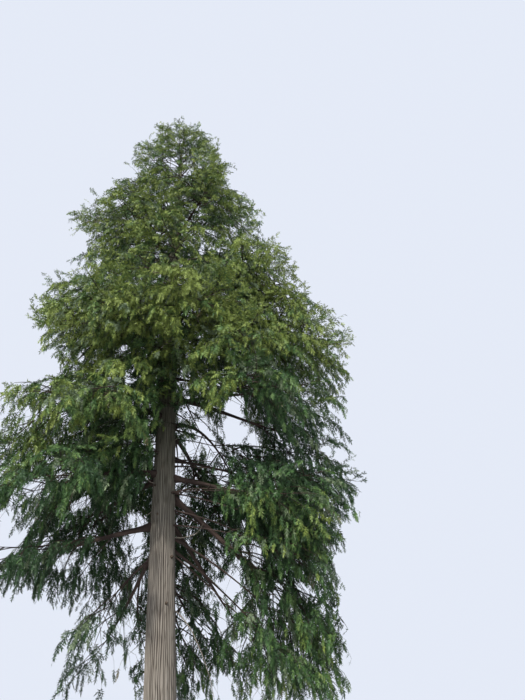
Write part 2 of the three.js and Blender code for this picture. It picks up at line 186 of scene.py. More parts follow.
# Dead limbs with no foliage: degrees, height, reach, rise, fall and radius
DEAD_LIMBS = [
    (-4, 11.2, 1.1, 0.1, -0.12, 0.016), (12, 8.9, 1.9, 0.2, -1.25, 0.02),
    (20, 14.1, 1.3, 0.5, 0.3, 0.014), (-12, 14.6, 0.9, 0.8, 0.7, 0.013),
    (152, 12.4, 1.0, -0.3, -0.5, 0.014), (60, 10.4, 1.6, -0.2, -0.6, 0.018),
    (196, 13.1, 0.8, 0.2, -0.1, 0.013),
]

# Stubs of lost limbs on the trunk: degrees, height and radius
STUBS = [(-71, 8.8, 0.045), (-46, 10.35, 0.05), (-140, 12.9, 0.04), (25, 7.4, 0.05), (80, 6.1, 0.045),
         (150, 9.6, 0.05), (-98, 5.2, 0.04), (200, 4.4, 0.05), (-118, 11.8, 0.035)]

# Lines of sight from the near side where the crown is open to the sky: for each radius the
# places, across and height, all in the trunk's own plane. Gaps are taller than wide, and noise
# makes their outlines uneven. Added limbs that cross a gap of LIMB_GAP or more are left out.
# Branches end at such a gap, and all but a share of them at one of BRANCH_GAP_RADIUS too. Sprays
# end at every gap, at an edge that varies from tuft to tuft.
GAP_TALL = 1.4
GAP_WARP = 0.7
GAP_WARP_CELLS = (1.9, 1.2)
GAP_WARP_PERIOD = 64
GAP_WARP_SEEDS = (7, 8)
GAP_EDGE = (0.55, 1.18)
GAP_EDGE_AT_ROOT = 0.9
LIMB_GAP = 0.4
BRANCH_GAP_RADIUS = 0.2
GAP_CROSSED = 0.35
SKY_GAPS = {
    0.1: [(1.0, 30.5), (2.55, 27.5)],
    0.11: [(-3.4, 22.4), (2.55, 17.2)],
    0.12: [(4.8, 17.3), (-4.0, 23.0), (1.2, 25.2), (0.9, 14.2), (1.95, 26.4)],
    0.14: [
        (3.0, 26.7), (2.1, 6.8), (0.5, 24.5), (-2.55, 12.6), (-1.65, 11.5), (1.2, 12.0), (0.45, 11.1),
        (1.95, 11.2), (1.2, 10.8), (-5.8, 11.9), (1.2, 14.75), (3.4, 6.6), (0.05, 9.6), (-1.5, 16.6),
        (-1.8, 23.7),
    ],
    0.15: [(6.1, 19.3), (2.7, 8.7), (-1.9, 30.6)],
    0.16: [(2.8, 7.4), (5.2, 6.9), (0.6, 8.4), (0.45, 7.9), (0.8, 6.5), (2.4, 10.4), (-0.6, 31.6)],
    0.17: [(-0.12, 18.6)],
    0.18: [(1.0, 10.2), (0.35, 6.9), (-1.3, 27.5), (-3.3, 26.9), (0.85, 25.5)],
    0.2: [
        (0.36, 14.5), (-1.4, 11.6), (1.5, 8.5), (0.85, 8.05), (2.7, 6.4), (5.6, 7.6), (-4.8, 18.3),
        (-4.2, 17.8), (-3.9, 13.3), (-4.4, 10.5), (-6.15, 17.1), (-1.2, 28.9), (-4.3, 15.9),
        (-1.9, 16.5), (-4.1, 13.6), (-2.2, 30.4), (-1.3, 30.2), (0.15, 30.1),
    ],
    0.22: [
        (2.24, 15.5), (2.57, 14.96), (5.9, 14.7), (2.75, 26.0), (0.1, 13.3), (1.9, 13.1), (0.35, 10.1),
        (3.0, 8.4), (-1.9, 17.8), (-2.6, 19.3), (1.35, 30.9), (-5.25, 17.1), (-4.7, 16.4), (-4.8, 13.6),
    ],
    0.24: [
        (0.2, 16.1), (-4.2, 15.65), (-5.7, 12.7), (0.25, 12.4), (-0.48, 29.6), (-2.1, 9.5),
        (-1.5, 33.2),
    ],
    0.26: [
        (1.35, 17.6), (-5.9, 15.7), (-4.0, 18.8), (5.9, 10.7), (2.1, 11.9), (-5.1, 10.6), (3.35, 9.5),
        (2.2, 7.9), (-3.4, 10.1), (-2.75, 9.9),
    ],
    0.28: [(0.02, 14.5), (-3.3, 12.2), (-1.2, 9.3)],
    0.3: [(-1.3, 8.4)],
    0.32: [(4.15, 9.2), (1.6, 6.6), (-2.75, 31.9)],
    0.34: [(1.4, 13.85), (5.45, 14.6), (-4.9, 12.5), (-1.3, 7.4), (0.5, 33.0)],
    0.36: [(0.62, 15.25), (5.4, 10.5)],
    0.38: [(2.85, 10.6)],
    0.4: [(-1.4, 6.2), (-6.2, 18.0)],
    0.42: [(-1.35, 10.7), (-1.95, 7.1)],
    0.5: [(1.97, 16.4), (1.6, 9.7), (-4.25, 28.3)],
    0.9: [(-4.4, 8.2)],
    1.1: [(-4.2, 6.6)],
    1.2: [(-5.6, 7.4)],
}

# From the near side no sprays hide the trunk below the second height, and only a share of them
# does between the two. On its left half they may hide it further down.
TRUNK_IN_VIEW = (16.3, 13.2)
TRUNK_EDGE = 0.06
LEFT_HIDDEN = 0.35
SPRAYS_OVER_TRUNK = 0.2

# The crown's edges as seen from the near side: height and how far across, both in the trunk's
# own plane. It narrows to a neck under the head, with a long branch below on the left.
LEFT_EDGE = [
    (16.5, -9), (16.6, -7.3), (17.1, -6.9), (17.3, -5.2), (18.0, -5.1), (18.8, -6.2), (19.7, -6.9),
    (21.4, -6.7), (22.7, -6.0), (23.7, -5.2), (24.6, -5.2), (25.4, -6.0), (27.0, -5.3), (28.0, -5.6),
    (28.6, -5.3), (28.8, -2.8), (29.5, -3.1), (30.0, -3.8), (31.4, -3.8), (31.6, -2.4), (32.4, -2.3),
    (33.2, -2.6), (33.4, -1.4), (33.7, -1.0),
]
RIGHT_EDGE = [
    (6.0, 6.6), (7.9, 6.2), (9.4, 6.8), (10.4, 6.0), (11.6, 6.2), (12.6, 7.3), (13.4, 7.9), (14.6, 6.7),
    (15.6, 6.2), (17.0, 6.9), (21.0, 7.1), (22.1, 6.3), (23.4, 5.3), (24.8, 4.5), (27.0, 3.3),
    (28.6, 2.2), (29.2, 1.4), (30.5, 1.9), (31.3, 0.9), (32.7, 1.5), (32.9, 0.5), (33.5, 0.3),
    (33.7, -0.3),
]

# The edges are toothed where limbs end: the teeth point up above one height and down below
# another, and are smaller near the tip. Branchlets stop at distances of their own inside the
# edges, and branches are thinned out towards them.
TOOTH_STEP = (0.6, 1.9)
TOOTH_DEPTH = (0.05, 1.05)
TEETH = 80
TEETH_RISE = (13.5, 16.5)
SMALLER_TEETH = (27.0, 32.0)
SMALLER_SHARE = 0.55
EDGE_OUT = 0.3
EDGE_VARIES = 0.5
EDGE_BAND = (0.1, 1.3)
EDGE_THINNED = 0.6

# Growth, from limbs to branches, branchlets and sprays. Turns, tilts, rolls, droops and dips are
# degrees. Gaps, droops, lengths and sizes run from limbs that rise to limbs that weep. Tapers and
# parts run from a parent's start to its end, and what varies does so at random between the two.
SEED = 11
STEM_STEPS = 36
CHILD_SCATTER = (-0.35, 0.35)
WEEP_POWER = 0.6

# Branches take parts of their limb's twig length and spray length, and the last one its own part.
BRANCH_GAP = (0.22, 0.34)
LAST_BRANCH = 0.97
BRANCH_TURN = (38, 64)
BRANCH_TILT = (-50, 55)
WEEPING_TILT = 0.4
BRANCH_CURL = (-0.5, 0.5)
BRANCH_BEND = 1.2
BRANCH_DROOP = (0, 80)
DROOP_VARIES = (-16, 16)
TWIG_PART = (1, 0.5)
SPRAY_PART = (0.55, 0.4)
LAST_PART = 0.75
BRANCH_VARIES = (0.75, 1.1)
BRANCH_STEPS = 8
LEADER_SPIN = (3, 9)
LEADER_PITCH = 0.5

# Branches turn up and get shorter near the limbs' tips and the crown's edges, less so where the
# limbs weep, and there are fewer of them high up.
TIP_RISE = 76
TIP_RISE_FROM = 0.66
EDGE_RISE = (0.2, 1.7)
WEEPING = (0.72, 0.95)
WEEPING_RISE = 0.35
TIP_LENGTH = 0.5
STEEPEST = 70
OPEN_TOP = 0.5
OPEN_FROM = (0.45, 0.9)

# Branchlets leave and end at pitches of their own, and those of branches that turn up rise.
BRANCHLET_GAP = (0.2, 0.26)
BRANCHLET_SPAN = (0.06, 1.0)
BRANCHLET_TURN = (34, 62)
TURN_PART = (1, 0.4)
BRANCHLET_ROLL = (-30, 50)
ROLL_PART = (1, 0.5)
BRANCHLET_CURL = (-0.6, 0.6)
BRANCHLET_BEND = 0.8
BRANCHLET_PITCH = 0.6
BRANCHLET_DROOP = (16, 90)
BRANCHLET_SWING = (-18, 10)
BRANCHLET_RISE = 100
STEEPEST_FALL = 89
BRANCHLET_LENGTH = (0.5, 1.25)
BRANCHLET_TAPER = (1.15, 0.55)
BRANCHLET_VARIES = (0.7, 1.25)
BRANCHLET_STEPS = 4

# Sprays lie flat along the branchlets and dip. Only so many are kept, evenly over the crown.
SPRAY_GAP = 0.075
SPRAY_SPAN = (0.08, 0.98)
SPRAY_TURN = (20, 66)
END_TURN = 0.1
SPRAY_DIP = (0, 26)
SPRAY_RISE = 12
SPRAY_ROLL = (-80, 80)
STEEPEST_SPRAY = 1.45
LEAST_LEVEL = 0.35
SPRAY_SIZE = (0.25, 0.3)
SPRAY_TAPER = (1, 0.75)
SPRAY_VARIES = (0.75, 1.2)
MOST_SPRAYS = 114000
EVEN_CELL = 0.45
CELL_KEY = 1009

# The crown's extent: sprays stay near the part's own foliage or well inside its reach, clear of
# the trunk, and inside the part's box.
SOLID_MARGIN = 0.75
OUTWARD = 0.35
FILLED_SHARE = 0.88
SECTORS = 24
SECTOR_HALF = math.radians(20)
HEIGHT_STEP = 0.25
LEAST_REACH = 0.4
INSIDE_BOX = 0.12
OFF_TRUNK = (0.02, 0.05)

# Camera
CAMERA_PLACE = (-0.35, -24.0, 1.6)
CAMERA_PITCH = 36.0
CAMERA_YAW = 8.05
CAMERA_ROLL = -1.3
FOCAL_PIXELS = 740
FRAME_HEIGHT = 700
SENSOR = 36.0
CAMERA_SIGHT = 500

# Light: colour and strength of the sky, and for each sun its name, strength, width in degrees,
# colour, and tilt and turn in degrees
SKY_COLOUR = (0.82, 0.87, 0.98, 1)
SKY_STRENGTH = 0.95
SUNS = [("sun", 5.4, 3, (1.0, 0.96, 0.88), 58, -26), ("fill", 1.0, 60, (0.92, 0.96, 1.0), 80, -8)]
FLOOR_HALF = 90
FLOOR_COLOUR = (0.46, 0.46, 0.46, 1)

UP = np.array([0.0, 0.0, 1.0])

# Keeps the side of an upright path from having no length
NUDGE = np.array([1e-4, 0, 0])

NOISE_ROWS = 512


def mix(a, b, t):
    return a + (b - a) * t


def share(value, low, high):
    return (value - low) / (high - low)


def unit(v):
    return v / np.maximum(np.linalg.norm(v, axis=-1, keepdims=True), 1e-9)


def smoothstep(low, high, x):
    t = np.clip((x - low) / (high - low), 0, 1)
    return t * t * (3 - 2 * t)


def noise(x, y, period, seed):
    """Smooth noise between 0 and 1, which repeats along x after period cells."""
    grid = np.random.default_rng(seed).uniform(0, 1, (period, NOISE_ROWS))
    x0, y0 = np.floor(x).astype(int), np.floor(y).astype(int)
    fx, fy = smoothstep(0, 1, x - x0), smoothstep(0, 1, y - y0)

    def row(y):
        return mix(grid[x0 % period, y % NOISE_ROWS], grid[(x0 + 1) % period, y % NOISE_ROWS], fx)

    return mix(row(y0), row(y0 + 1), fy)


def pick(rows, chosen):
    """The chosen ones of a set of arrays."""
    return {key: value[chosen] for key, value in rows.items()}


def series(seed):
    """The part's own seeded series."""
    state = ((seed + 1) * SEED_SPREAD) % SERIES_RANGE

    def draw(low, high):
        nonlocal state
        state = (state * SERIES_FACTOR + SERIES_STEP) % SERIES_RANGE
        return low + (high - low) * state / SERIES_RANGE

    return draw


# Trunk and limb curves


def trunk_axis(z):
    z = np.asarray(z, float)
    lean = LEAN * (1 - np.exp(-np.power(np.maximum(z, 0) / LEAN_HEIGHT, LEAN_ONSET)))
    return np.stack([lean, SWAY * np.sin(2 * np.pi * z / TREE_HEIGHT), z], axis=-1)


def trunk_radius(z):
    left = np.maximum(0, 1 - np.asarray(z, float) / TRUNK_TOP)
    return TOP_RADIUS + (BUTT_RADIUS - TOP_RADIUS) * left ** TAPER_POWER


def root_flare(z, angle):
    ridges = 1 + FLARE_RIDGE_DEPTH * np.cos(FLARE_RIDGES * angle)
    return FLARE_OUT * np.exp(-z / FLARE_HEIGHT) * ridges


def make_limb(limbs, label, azimuth, height, shape):
    draw = series(len(limbs) * LIMB_SEEDS)
    reach = shape["reach"] * draw(*REACH_VARIES)
    size = 0 if label == "leader" else min(1, reach / LONG_REACH)
    limbs.append(dict(
        shape,
        label=label,
        azimuth=azimuth,
        reach=reach,
        height=height + draw(-HEIGHT_SHIFT, HEIGHT_SHIFT),
        sweep=draw(-SWEEP, SWEEP),
        thickness=shape["reach"] * BOUGH_THICKNESS * shape.get("slim", 1),
        twig_length=mix(*TWIG_LENGTH, size),
        spray_length=mix(*SPRAY_LENGTH, size),
        weep=min(1, max(0, share(height, *WEEPING_HEIGHT))),
    ))


def upper_reach(height, azimuth):
    fuller = 1 + FULLER_SIDE * math.cos(math.radians(azimuth))
    return UPPER_REACH * fuller * max(0.0, share(height, UPPER_TIP, UPPER_HEIGHT[0])) ** NARROWING


def add_lower_limbs(limbs):
    for tier in LOWER_TIERS:
        for i, (azimuth, height, own) in enumerate(tier["limbs"]):
            label = f"{tier['name']}_{i + 1}" if len(tier["limbs"]) > 1 else tier["name"]
            bare = DRESSED.get(label, tier["bare"])
            shape = dict(reach=tier["reach"] * own, rise=tier["rise"], fall=tier["fall"], bare=bare)
            make_limb(limbs, label, azimuth, height, shape)


def add_upper_limbs(limbs):
    for i in range(UPPER_LIMBS):
        up = i / (UPPER_LIMBS - 1)
        is_long = i == LONG_LIMB
        height = mix(*UPPER_HEIGHT, up) + (LONG_LIMB_HIGHER if is_long else 0)
        azimuth = UPPER_FIRST + i * UPPER_TURN + (LONG_LIMB_TURNED if is_long else 0)
        reach = upper_reach(height, azimuth) * (LONG_LIMB_SHARE if is_long else 1)
        shape = dict(reach=reach, rise=mix(*UPPER_RISE, up), fall=mix(*UPPER_FALL, up), bare=0)
        make_limb(limbs, f"upper_{i + 1}", azimuth, height, shape)
    make_limb(limbs, "leader", 0, TRUNK_TOP, dict(reach=TREE_HEIGHT - TRUNK_TOP, rise=0, fall=0, bare=0))


def fill_upper_crown(limbs):
    for i in range(UPPER_FILL["count"]):
        height = mix(*UPPER_FILL["height"], i / (UPPER_FILL["count"] - 1))
        azimuth = UPPER_FILL["first"] + i * UPPER_FILL["turn"]
        own = mix(*UPPER_FILL["reach"], (i * SCATTER) % 1)
        reach = min(upper_reach(height, azimuth), UPPER_REACH) * own + UPPER_FILL["longer"]
        up = share(height, *UPPER_HEIGHT)
        shape = dict(reach=reach, rise=mix(*UPPER_RISE, up), fall=mix(*UPPER_FALL, up))
        make_limb(limbs, "fill", azimuth, height, dict(shape, bare=UPPER_FILL["bare"], slim=FILL_THICKNESS))


def fill_lower_tiers(limbs):
    for count, heights, sector, reaches, rise, fall, bare in FILL_TIERS:
        for i in range(count):
            azimuth, height = mix(*sector, (i * SCATTER) % 1), mix(*heights, (i + 0.5) / count)
            shape = dict(reach=mix(*reaches, (i * 5 * SCATTER) % 1), rise=rise, fall=fall, bare=bare)
            make_limb(limbs, "fill", azimuth, height, dict(shape, slim=LOW_FILL_THICKNESS))


def make_limbs():
    """The part's own limbs and then the added ones. A limb's number seeds its curve, so their order
    has to stay."""
    limbs = []
    add_lower_limbs(limbs)
    add_upper_limbs(limbs)
    fill_upper_crown(limbs)
    fill_lower_tiers(limbs)
    for azimuth, height, reach, rise, fall, bare, slim in ARCHING_LIMBS:
        shape = dict(reach=reach, rise=rise, fall=fall, bare=bare, slim=slim)
        make_limb(limbs, "arch", azimuth, height, shape)
    for azimuth, height, reach in SHOOTS:
        make_limb(limbs, "shoot", azimuth, height, dict(SHOOT_SHAPE, reach=reach))
    return limbs


def make_forks(limbs, rng):
    """Forks follow their bough's own curve and turn away from it, and rise or fall on their own."""
    forks = []
    for limb in limbs:
        if limb["label"] in ("leader", *ADDED):
            continue
        is_full = FULLEST_SECTOR[0] < (limb["azimuth"] + 180) % 360 - 180 < FULLEST_SECTOR[1]
        for i in range(FORK_COUNTS[is_full]):
            start, end = (rng.uniform(*FORKS[key]) for key in ("start", "end"))
            turn = rng.uniform(*FORKS["turn"]) * (1 if i % 2 else -1)
            bare = max(limb["bare"], start + FORKS["bare"])
            forks.append(dict(
                limb,
                label="fork",
                bough=limb["label"],
                start=start,
                end=end,
                turn=turn,
                lift=rng.uniform(*FORKS["lift"]),
                bare=(bare - start) / (end - start),
                thickness=limb["thickness"] * FORKS["slim"],
            ))
    return forks


def limb_place(limb, t):
    t = np.asarray(t, float)
    if limb["label"] == "leader":
        z = mix(TRUNK_TOP - TOP_RADIUS, TREE_HEIGHT, t)
        nod = np.stack([LEADER_NOD[0] * t * t, LEADER_NOD[1] * t * t, 0 * t], axis=-1)
        return trunk_axis(z) + nod
    turn = limb["azimuth"] + limb["sweep"] * t * t
    out = limb["reach"] * t
    climb = limb["rise"] * t * (1 - t) + limb["fall"] * t * t + LIFT * t ** LIFT_POWER
    if limb["label"] == "fork":
        over = (t - limb["start"]) / (1 - limb["start"])
        turn = turn + limb["turn"] * over
        climb = climb + limb["lift"] * over * over
    turn = np.radians(turn)
    place = np.stack([out * np.cos(turn), out * np.sin(turn), limb["reach"] * climb], axis=-1)
    return trunk_axis(limb["height"]) + place


def limb_radius(limb, t):
    if limb["label"] == "leader":
        return mix(TOP_RADIUS, LIMB_TIP_RADIUS, t)
    return np.maximum(LIMB_TIP_RADIUS, limb["thickness"] * mix(1, BOUGH_END, np.asarray(t) / BOUGH_END_AT))


# Growth


def directions(azimuth, pitch):
    level = np.cos(pitch)
    return np.stack([np.cos(azimuth) * level, np.sin(azimuth) * level, np.sin(pitch)], axis=-1)


def angles(direction):
    return np.arctan2(direction[..., 1], direction[..., 0]), np.arcsin(np.clip(direction[..., 2], -1, 1))


def grow(root, azimuth, curl, pitches, bend, length, steps):
    """Paths that leave their roots at one pitch and bend to another."""
    s = (np.arange(steps) + 0.5) / steps
    turned = azimuth[:, None] + curl[:, None] * s
    start, end = pitches
    pitch = mix(start[:, None], end[:, None], s ** bend)
    move = directions(turned, pitch) * (length / steps)[:, None, None]
    return np.concatenate([root[:, None], root[:, None] + np.cumsum(move, axis=1)], axis=1)


def along(paths, parent, s):
    """Places and directions at a share of the parents' paths."""
    steps = paths.shape[1] - 1
    x = np.clip(s * steps, 0, steps - 1e-6)
    k = x.astype(int)
    a, b = paths[parent, k], paths[parent, k + 1]
    return a + (b - a) * (x - k)[:, None], unit(b - a)


def spread(counts, first, last, rng):
    """For each parent, its children's index and their shares along it, with a little scatter."""
    parent = np.repeat(np.arange(len(counts)), counts)
    order = np.concatenate([np.arange(n) for n in counts])
    s = (order + 0.5 + rng.uniform(*CHILD_SCATTER, len(parent))) / counts[parent]
    return parent, order, mix(np.broadcast_to(first, len(counts))[parent], last, s)


def with_ends(parent, order, s, count):
    """The same children, and one more at the end of each parent."""
    ends = np.arange(count)
    return np.append(parent, ends), np.append(order, ends * 0), np.append(s, np.ones(count))


def in_turn(order):
    """Left and right in turn."""
    return np.where(order % 2, 1.0, -1.0)


def path_lengths(paths):
    return np.linalg.norm(np.diff(paths, axis=1), axis=2).sum(axis=1)


def leave_stems(stems, parent, order, s, weep, on_leader, rng):
    """Where branches leave the stems, and their azimuth and pitch there: to left and right in turn,
    but all round on the leader."""
    root, ahead = along(stems, parent, s)
    across = unit(np.cross(UP, ahead)) * in_turn(order)[:, None]
    tilt = np.radians(rng.uniform(*BRANCH_TILT, len(s))) * mix(1, WEEPING_TILT, weep)
    across = across * np.cos(tilt)[:, None] + UP * np.sin(tilt)[:, None]
    turn = np.radians(rng.uniform(*BRANCH_TURN, len(s))) * np.where(s >= 1, 0, 1)
    heading = unit(ahead * np.cos(turn)[:, None] + across * np.sin(turn)[:, None])
    spin = turn * LEADER_SPIN[0] + s * LEADER_SPIN[1] + order
    all_round = directions(spin, np.full(len(s), LEADER_PITCH))
    heading = np.where((on_leader & (s < 1))[:, None], all_round, heading)
    return root, *angles(heading)


def turned_up(root, outer, weep):
    """How far branches turn up, from 0 to 1."""
    at_edge = 1 - smoothstep(*EDGE_RISE, edge_room(root))
    upright = np.maximum(smoothstep(TIP_RISE_FROM, 1.0, outer), at_edge)
    return upright * mix(1, WEEPING_RISE, smoothstep(*WEEPING, weep))


def grow_branches(limbs, stems, rng):
    """Branches leave the stems to left and right in turn and droop; one more ends each stem."""
    keys = ("bare", "weep", "twig_length", "spray_length", "label")
    of_limb = {key: np.array([limb[key] for limb in limbs]) for key in keys}
    bare = of_limb["bare"]
    room = path_lengths(stems) * (1 - bare)
    counts = np.maximum(3, np.round(room / mix(*BRANCH_GAP, of_limb["weep"] ** WEEP_POWER)).astype(int))
    parent, order, s = with_ends(*spread(counts, bare, LAST_BRANCH, rng), len(limbs))
    bare, weep, twig_length, spray_length, label = (of_limb[key][parent] for key in keys)
    root, azimuth, pitch = leave_stems(stems, parent, order, s, weep, label == "leader", rng)
    outer = share(s, bare, 1.0)
    upright = turned_up(root, outer, weep)
    length = twig_length * mix(*TWIG_PART, outer) * rng.uniform(*BRANCH_VARIES, len(s))
    length = (length + spray_length * mix(*SPRAY_PART, outer)) * mix(1, TIP_LENGTH, upright)
    length = np.where(s >= 1, spray_length * LAST_PART, length)
    droop = mix(*BRANCH_DROOP, weep ** WEEP_POWER) - TIP_RISE * upright
    droop = np.maximum(droop + rng.uniform(*DROOP_VARIES, len(s)), -STEEPEST)
    curl = rng.uniform(*BRANCH_CURL, len(s))
    return dict(
        paths=grow(root, azimuth, curl, (pitch, -np.radians(droop)), BRANCH_BEND, length, BRANCH_STEPS),
        parent=parent,
        share=s,
        weep=weep,
        outer=outer,
        upright=upright,
        tint=rng.uniform(0, 1, len(s)),
        radius=np.clip(length * BRANCH_THICKNESS, *BRANCH_RADIUS),
    )


def grow_branchlets(branches, rng):
    """Branchlets leave the branches to left and right in turn, and hang."""
    carriers = branches["paths"]
    gap = mix(*BRANCHLET_GAP, branches["weep"] ** WEEP_POWER)
    counts = np.maximum(2, np.round(path_lengths(carriers) / gap).astype(int))
    parent, order, s = spread(counts, *BRANCHLET_SPAN, rng)
    root, ahead = along(carriers, parent, s)
    weep, upright = branches["weep"][parent], branches["upright"][parent]
    azimuth, pitch = angles(ahead)
    turn = np.radians(rng.uniform(*BRANCHLET_TURN, len(s))) * in_turn(order) * mix(*TURN_PART, s)
    roll = np.radians(rng.uniform(*BRANCHLET_ROLL, len(s))) * mix(*ROLL_PART, weep)
    length = mix(*BRANCHLET_LENGTH, weep) * mix(*BRANCHLET_TAPER, s)
    length = length * rng.uniform(*BRANCHLET_VARIES, len(s))
    droop = mix(*BRANCHLET_DROOP, weep ** 0.5) - BRANCHLET_RISE * upright
    droop = np.clip(droop + rng.uniform(*BRANCHLET_SWING, len(s)), -STEEPEST, STEEPEST_FALL)
    curl = rng.uniform(*BRANCHLET_CURL, len(s))
    pitches = pitch * BRANCHLET_PITCH + roll, -np.radians(droop)
    return dict(
        paths=grow(root, azimuth + turn, curl, pitches, BRANCHLET_BEND, length, BRANCHLET_STEPS),
        parent=parent,
        share=s,
        limb=branches["parent"][parent],
        weep=weep * (1 - upright),
        tint=branches["tint"][parent],
        own=rng.uniform(0, 1, len(s)),
        length=length,
    )


def grow_sprays(branchlets, rng):
    """Flat sprays to left and right along each branchlet, and one at its end."""
    counts = np.maximum(2, np.round(branchlets["length"] / SPRAY_GAP).astype(int))
    parent, order, s = with_ends(*spread(counts, *SPRAY_SPAN, rng), len(counts))
    root, ahead = along(branchlets["paths"], parent, s)
    azimuth, pitch = angles(ahead)
    weep = branchlets["weep"][parent]
    turn = np.radians(rng.uniform(*SPRAY_TURN, len(s))) * in_turn(order) * np.where(s >= 1, END_TURN, 1)
    pitch = pitch - np.radians(rng.uniform(*SPRAY_DIP, len(s))) + np.radians(SPRAY_RISE) * (1 - weep)
    pitch = np.clip(pitch, -STEEPEST_SPRAY, STEEPEST_SPRAY)
    azimuth = azimuth + turn / np.maximum(LEAST_LEVEL, np.cos(pitch))
    return dict(
        root=root,
        ahead=directions(azimuth, pitch),
        size=mix(*SPRAY_SIZE, weep) * mix(*SPRAY_TAPER, s) * rng.uniform(*SPRAY_VARIES, len(s)),
        limb=branchlets["limb"][parent],
        parent=parent,
        share=s,
        roll=np.radians(rng.uniform(*SPRAY_ROLL, len(s))),
        tint=branchlets["tint"][parent],
        tuft=branchlets["own"][parent],
        own=rng.uniform(0, 1, len(s)),
    )


def last_shares(count, parent, shares):
    """How far along each of so many parents its last child leaves it, as a share."""
    last = np.zeros(count)
    np.maximum.at(last, parent, shares)
    return last


def cut_back(paths, parent, shares, steps):
    """Paths of a few points that end with the last of their children, and which of them have any."""
    last = last_shares(len(paths), parent, shares)
    kept = np.nonzero(last > 0)[0]
    s = np.linspace(0, 1, steps) * last[kept][:, None]
    places, _ = along(paths, np.repeat(kept, steps), s.ravel())
    return places.reshape(len(kept), steps, 3), kept


def solid_tree(nodes):
    """A search tree over the foliage solids of the part."""
    places, faces = [], []
    for name, node in nodes.items():
        if not name.startswith("foliage"):
            continue
        start = len(places)
        places.extend(v.co for v in node.data.vertices)
        faces.extend(tuple(start + k for k in p.vertices) for p in node.data.polygons)
    return BVHTree.FromPolygons(places, faces)


def around_trunk(places):
    """Direction and distance from the trunk's middle line."""
    off = places - trunk_axis(places[:, 2])
    return np.arctan2(off[:, 1], off[:, 0]), np.hypot(off[:, 0], off[:, 1])


def outer_hull(heights, distances):
    """The furthest points of those given by height, without those in a hollow between two others."""
    hull = []
    for z, r in zip(heights, distances):
        while len(hull) > 1:
            (z0, r0), (z1, r1) = hull[-2:]
            if (r1 - r0) * (z - z0) > (r - r0) * (z1 - z0):
                break
            hull.pop()
        hull.append((z, r))
    return hull


def crown_reach(nodes):
    """How far the part's foliage reaches in each direction and at each height, with the stretches
    between its furthest tips filled in straight."""
    places = np.array([v.co[:] for name, node in nodes.items() if name.startswith("foliage")
                       for v in node.data.vertices])
    direction, distance = around_trunk(places)
    heights = np.arange(0, TREE_HEIGHT + 1, HEIGHT_STEP)
    table = np.zeros((SECTORS, len(heights)))
    for k in range(SECTORS):
        off = (direction - 2 * np.pi * k / SECTORS + np.pi) % (2 * np.pi) - np.pi
        here = np.nonzero(np.abs(off) < SECTOR_HALF)[0]
        here = here[np.argsort(places[here, 2])]
        table[k] = np.interp(heights, *zip(*outer_hull(places[here, 2], distance[here])), left=0, right=0)
    return table


def compare_reach(places, table):
    """Direction and distance from the trunk, and how far the part's crown reaches there."""
    direction, distance = around_trunk(places)
    sector = np.round(direction / (2 * np.pi) * SECTORS).astype(int) % SECTORS
    level = np.clip(np.round(places[:, 2] / HEIGHT_STEP).astype(int), 0, table.shape[1] - 1)
    return direction, distance, table[sector, level]


def within_reach(places, tree, table):
    """Whether each place is near the part's foliage, or well inside the reach of its crown."""
    direction, distance, reach = compare_reach(places, table)
    near = distance < FILLED_SHARE * reach
    left = np.nonzero(~near)[0]
    outward = np.stack([np.cos(direction), np.sin(direction), 0 * direction], axis=-1) * OUTWARD
    beyond = (places + outward)[left].tolist()
    near[left] = [tree.find_nearest(place, SOLID_MARGIN)[0] is not None for place in beyond]
    low, high = (np.array(corner) for corner in CAD_BOX)
    return near & np.all((places > low + INSIDE_BOX) & (places < high - INSIDE_BOX), axis=1)


def outer_share(places, table):
    """How far out each place lies in the crown: 0 at the trunk, 1 at the crown's reach."""
    _, distance, reach = compare_reach(places, table)
    return np.clip(distance / np.maximum(reach, LEAST_REACH), 0, 1)


def off_trunk(places):
    """How far outside the trunk each place lies."""
    return around_trunk(places)[1] - trunk_radius(places[:, 2])


def on_trunk_plane(places):
    """Where the line of sight through each place crosses the upright plane of the trunk."""
    eye = np.array(CAMERA_PLACE)
    return eye + (places - eye) * (-eye[1] / (places[:, 1] - eye[1]))[:, None]


def in_gap(places, edge=1.0, least=0.0):
    """Whether each place lies on a line of sight that the crown leaves open. Gaps below the least
    radius are passed over, and edge makes them larger or smaller."""
    seen = on_trunk_plane(places)
    x, z = seen[:, 0], seen[:, 2]
    cells = x * GAP_WARP_CELLS[0], z * GAP_WARP_CELLS[1]
    warp = [GAP_WARP * (noise(*cells, GAP_WARP_PERIOD, seed) - 0.5) for seed in GAP_WARP_SEEDS]
    x, z = x + warp[0], z + warp[1] * GAP_TALL
    open_here = np.zeros(len(places), bool)
    for radius, gaps in SKY_GAPS.items():
        for across, height in gaps if radius >= least else ():
            open_here |= np.hypot(x - across, (z - height) / GAP_TALL) < radius * edge
    return open_here


def share_before(hit, paths):
    """How far along each path its first point that is hit lies, as a share, or 2 if none is."""
    count, steps, _ = paths.shape
    hit = hit.reshape(count, steps)
    return np.where(hit.any(axis=1), np.argmax(hit, axis=1) / (steps - 1), 2.0)


def clear_share(paths, least):
    """How far along each path its line of sight stays out of gaps that wide, as a share."""
    return share_before(in_gap(paths.reshape(-1, 3), least=least), paths)


def edge_teeth(heights, seed):
    """How far inside the crown's edge its foliage stops at each height."""
    rng = np.random.default_rng(seed)
    marks = np.cumsum(rng.uniform(*TOOTH_STEP, TEETH))
    depths = rng.uniform(*TOOTH_DEPTH, TEETH)
    k = np.clip(np.searchsorted(marks, heights), 1, TEETH - 1)
    over = np.clip(share(heights, marks[k - 1], marks[k]), 0, 1)
    over = mix(over, 1 - over, smoothstep(*TEETH_RISE, heights))
    return depths[k] * over * mix(1, SMALLER_SHARE, smoothstep(*SMALLER_TEETH, heights))


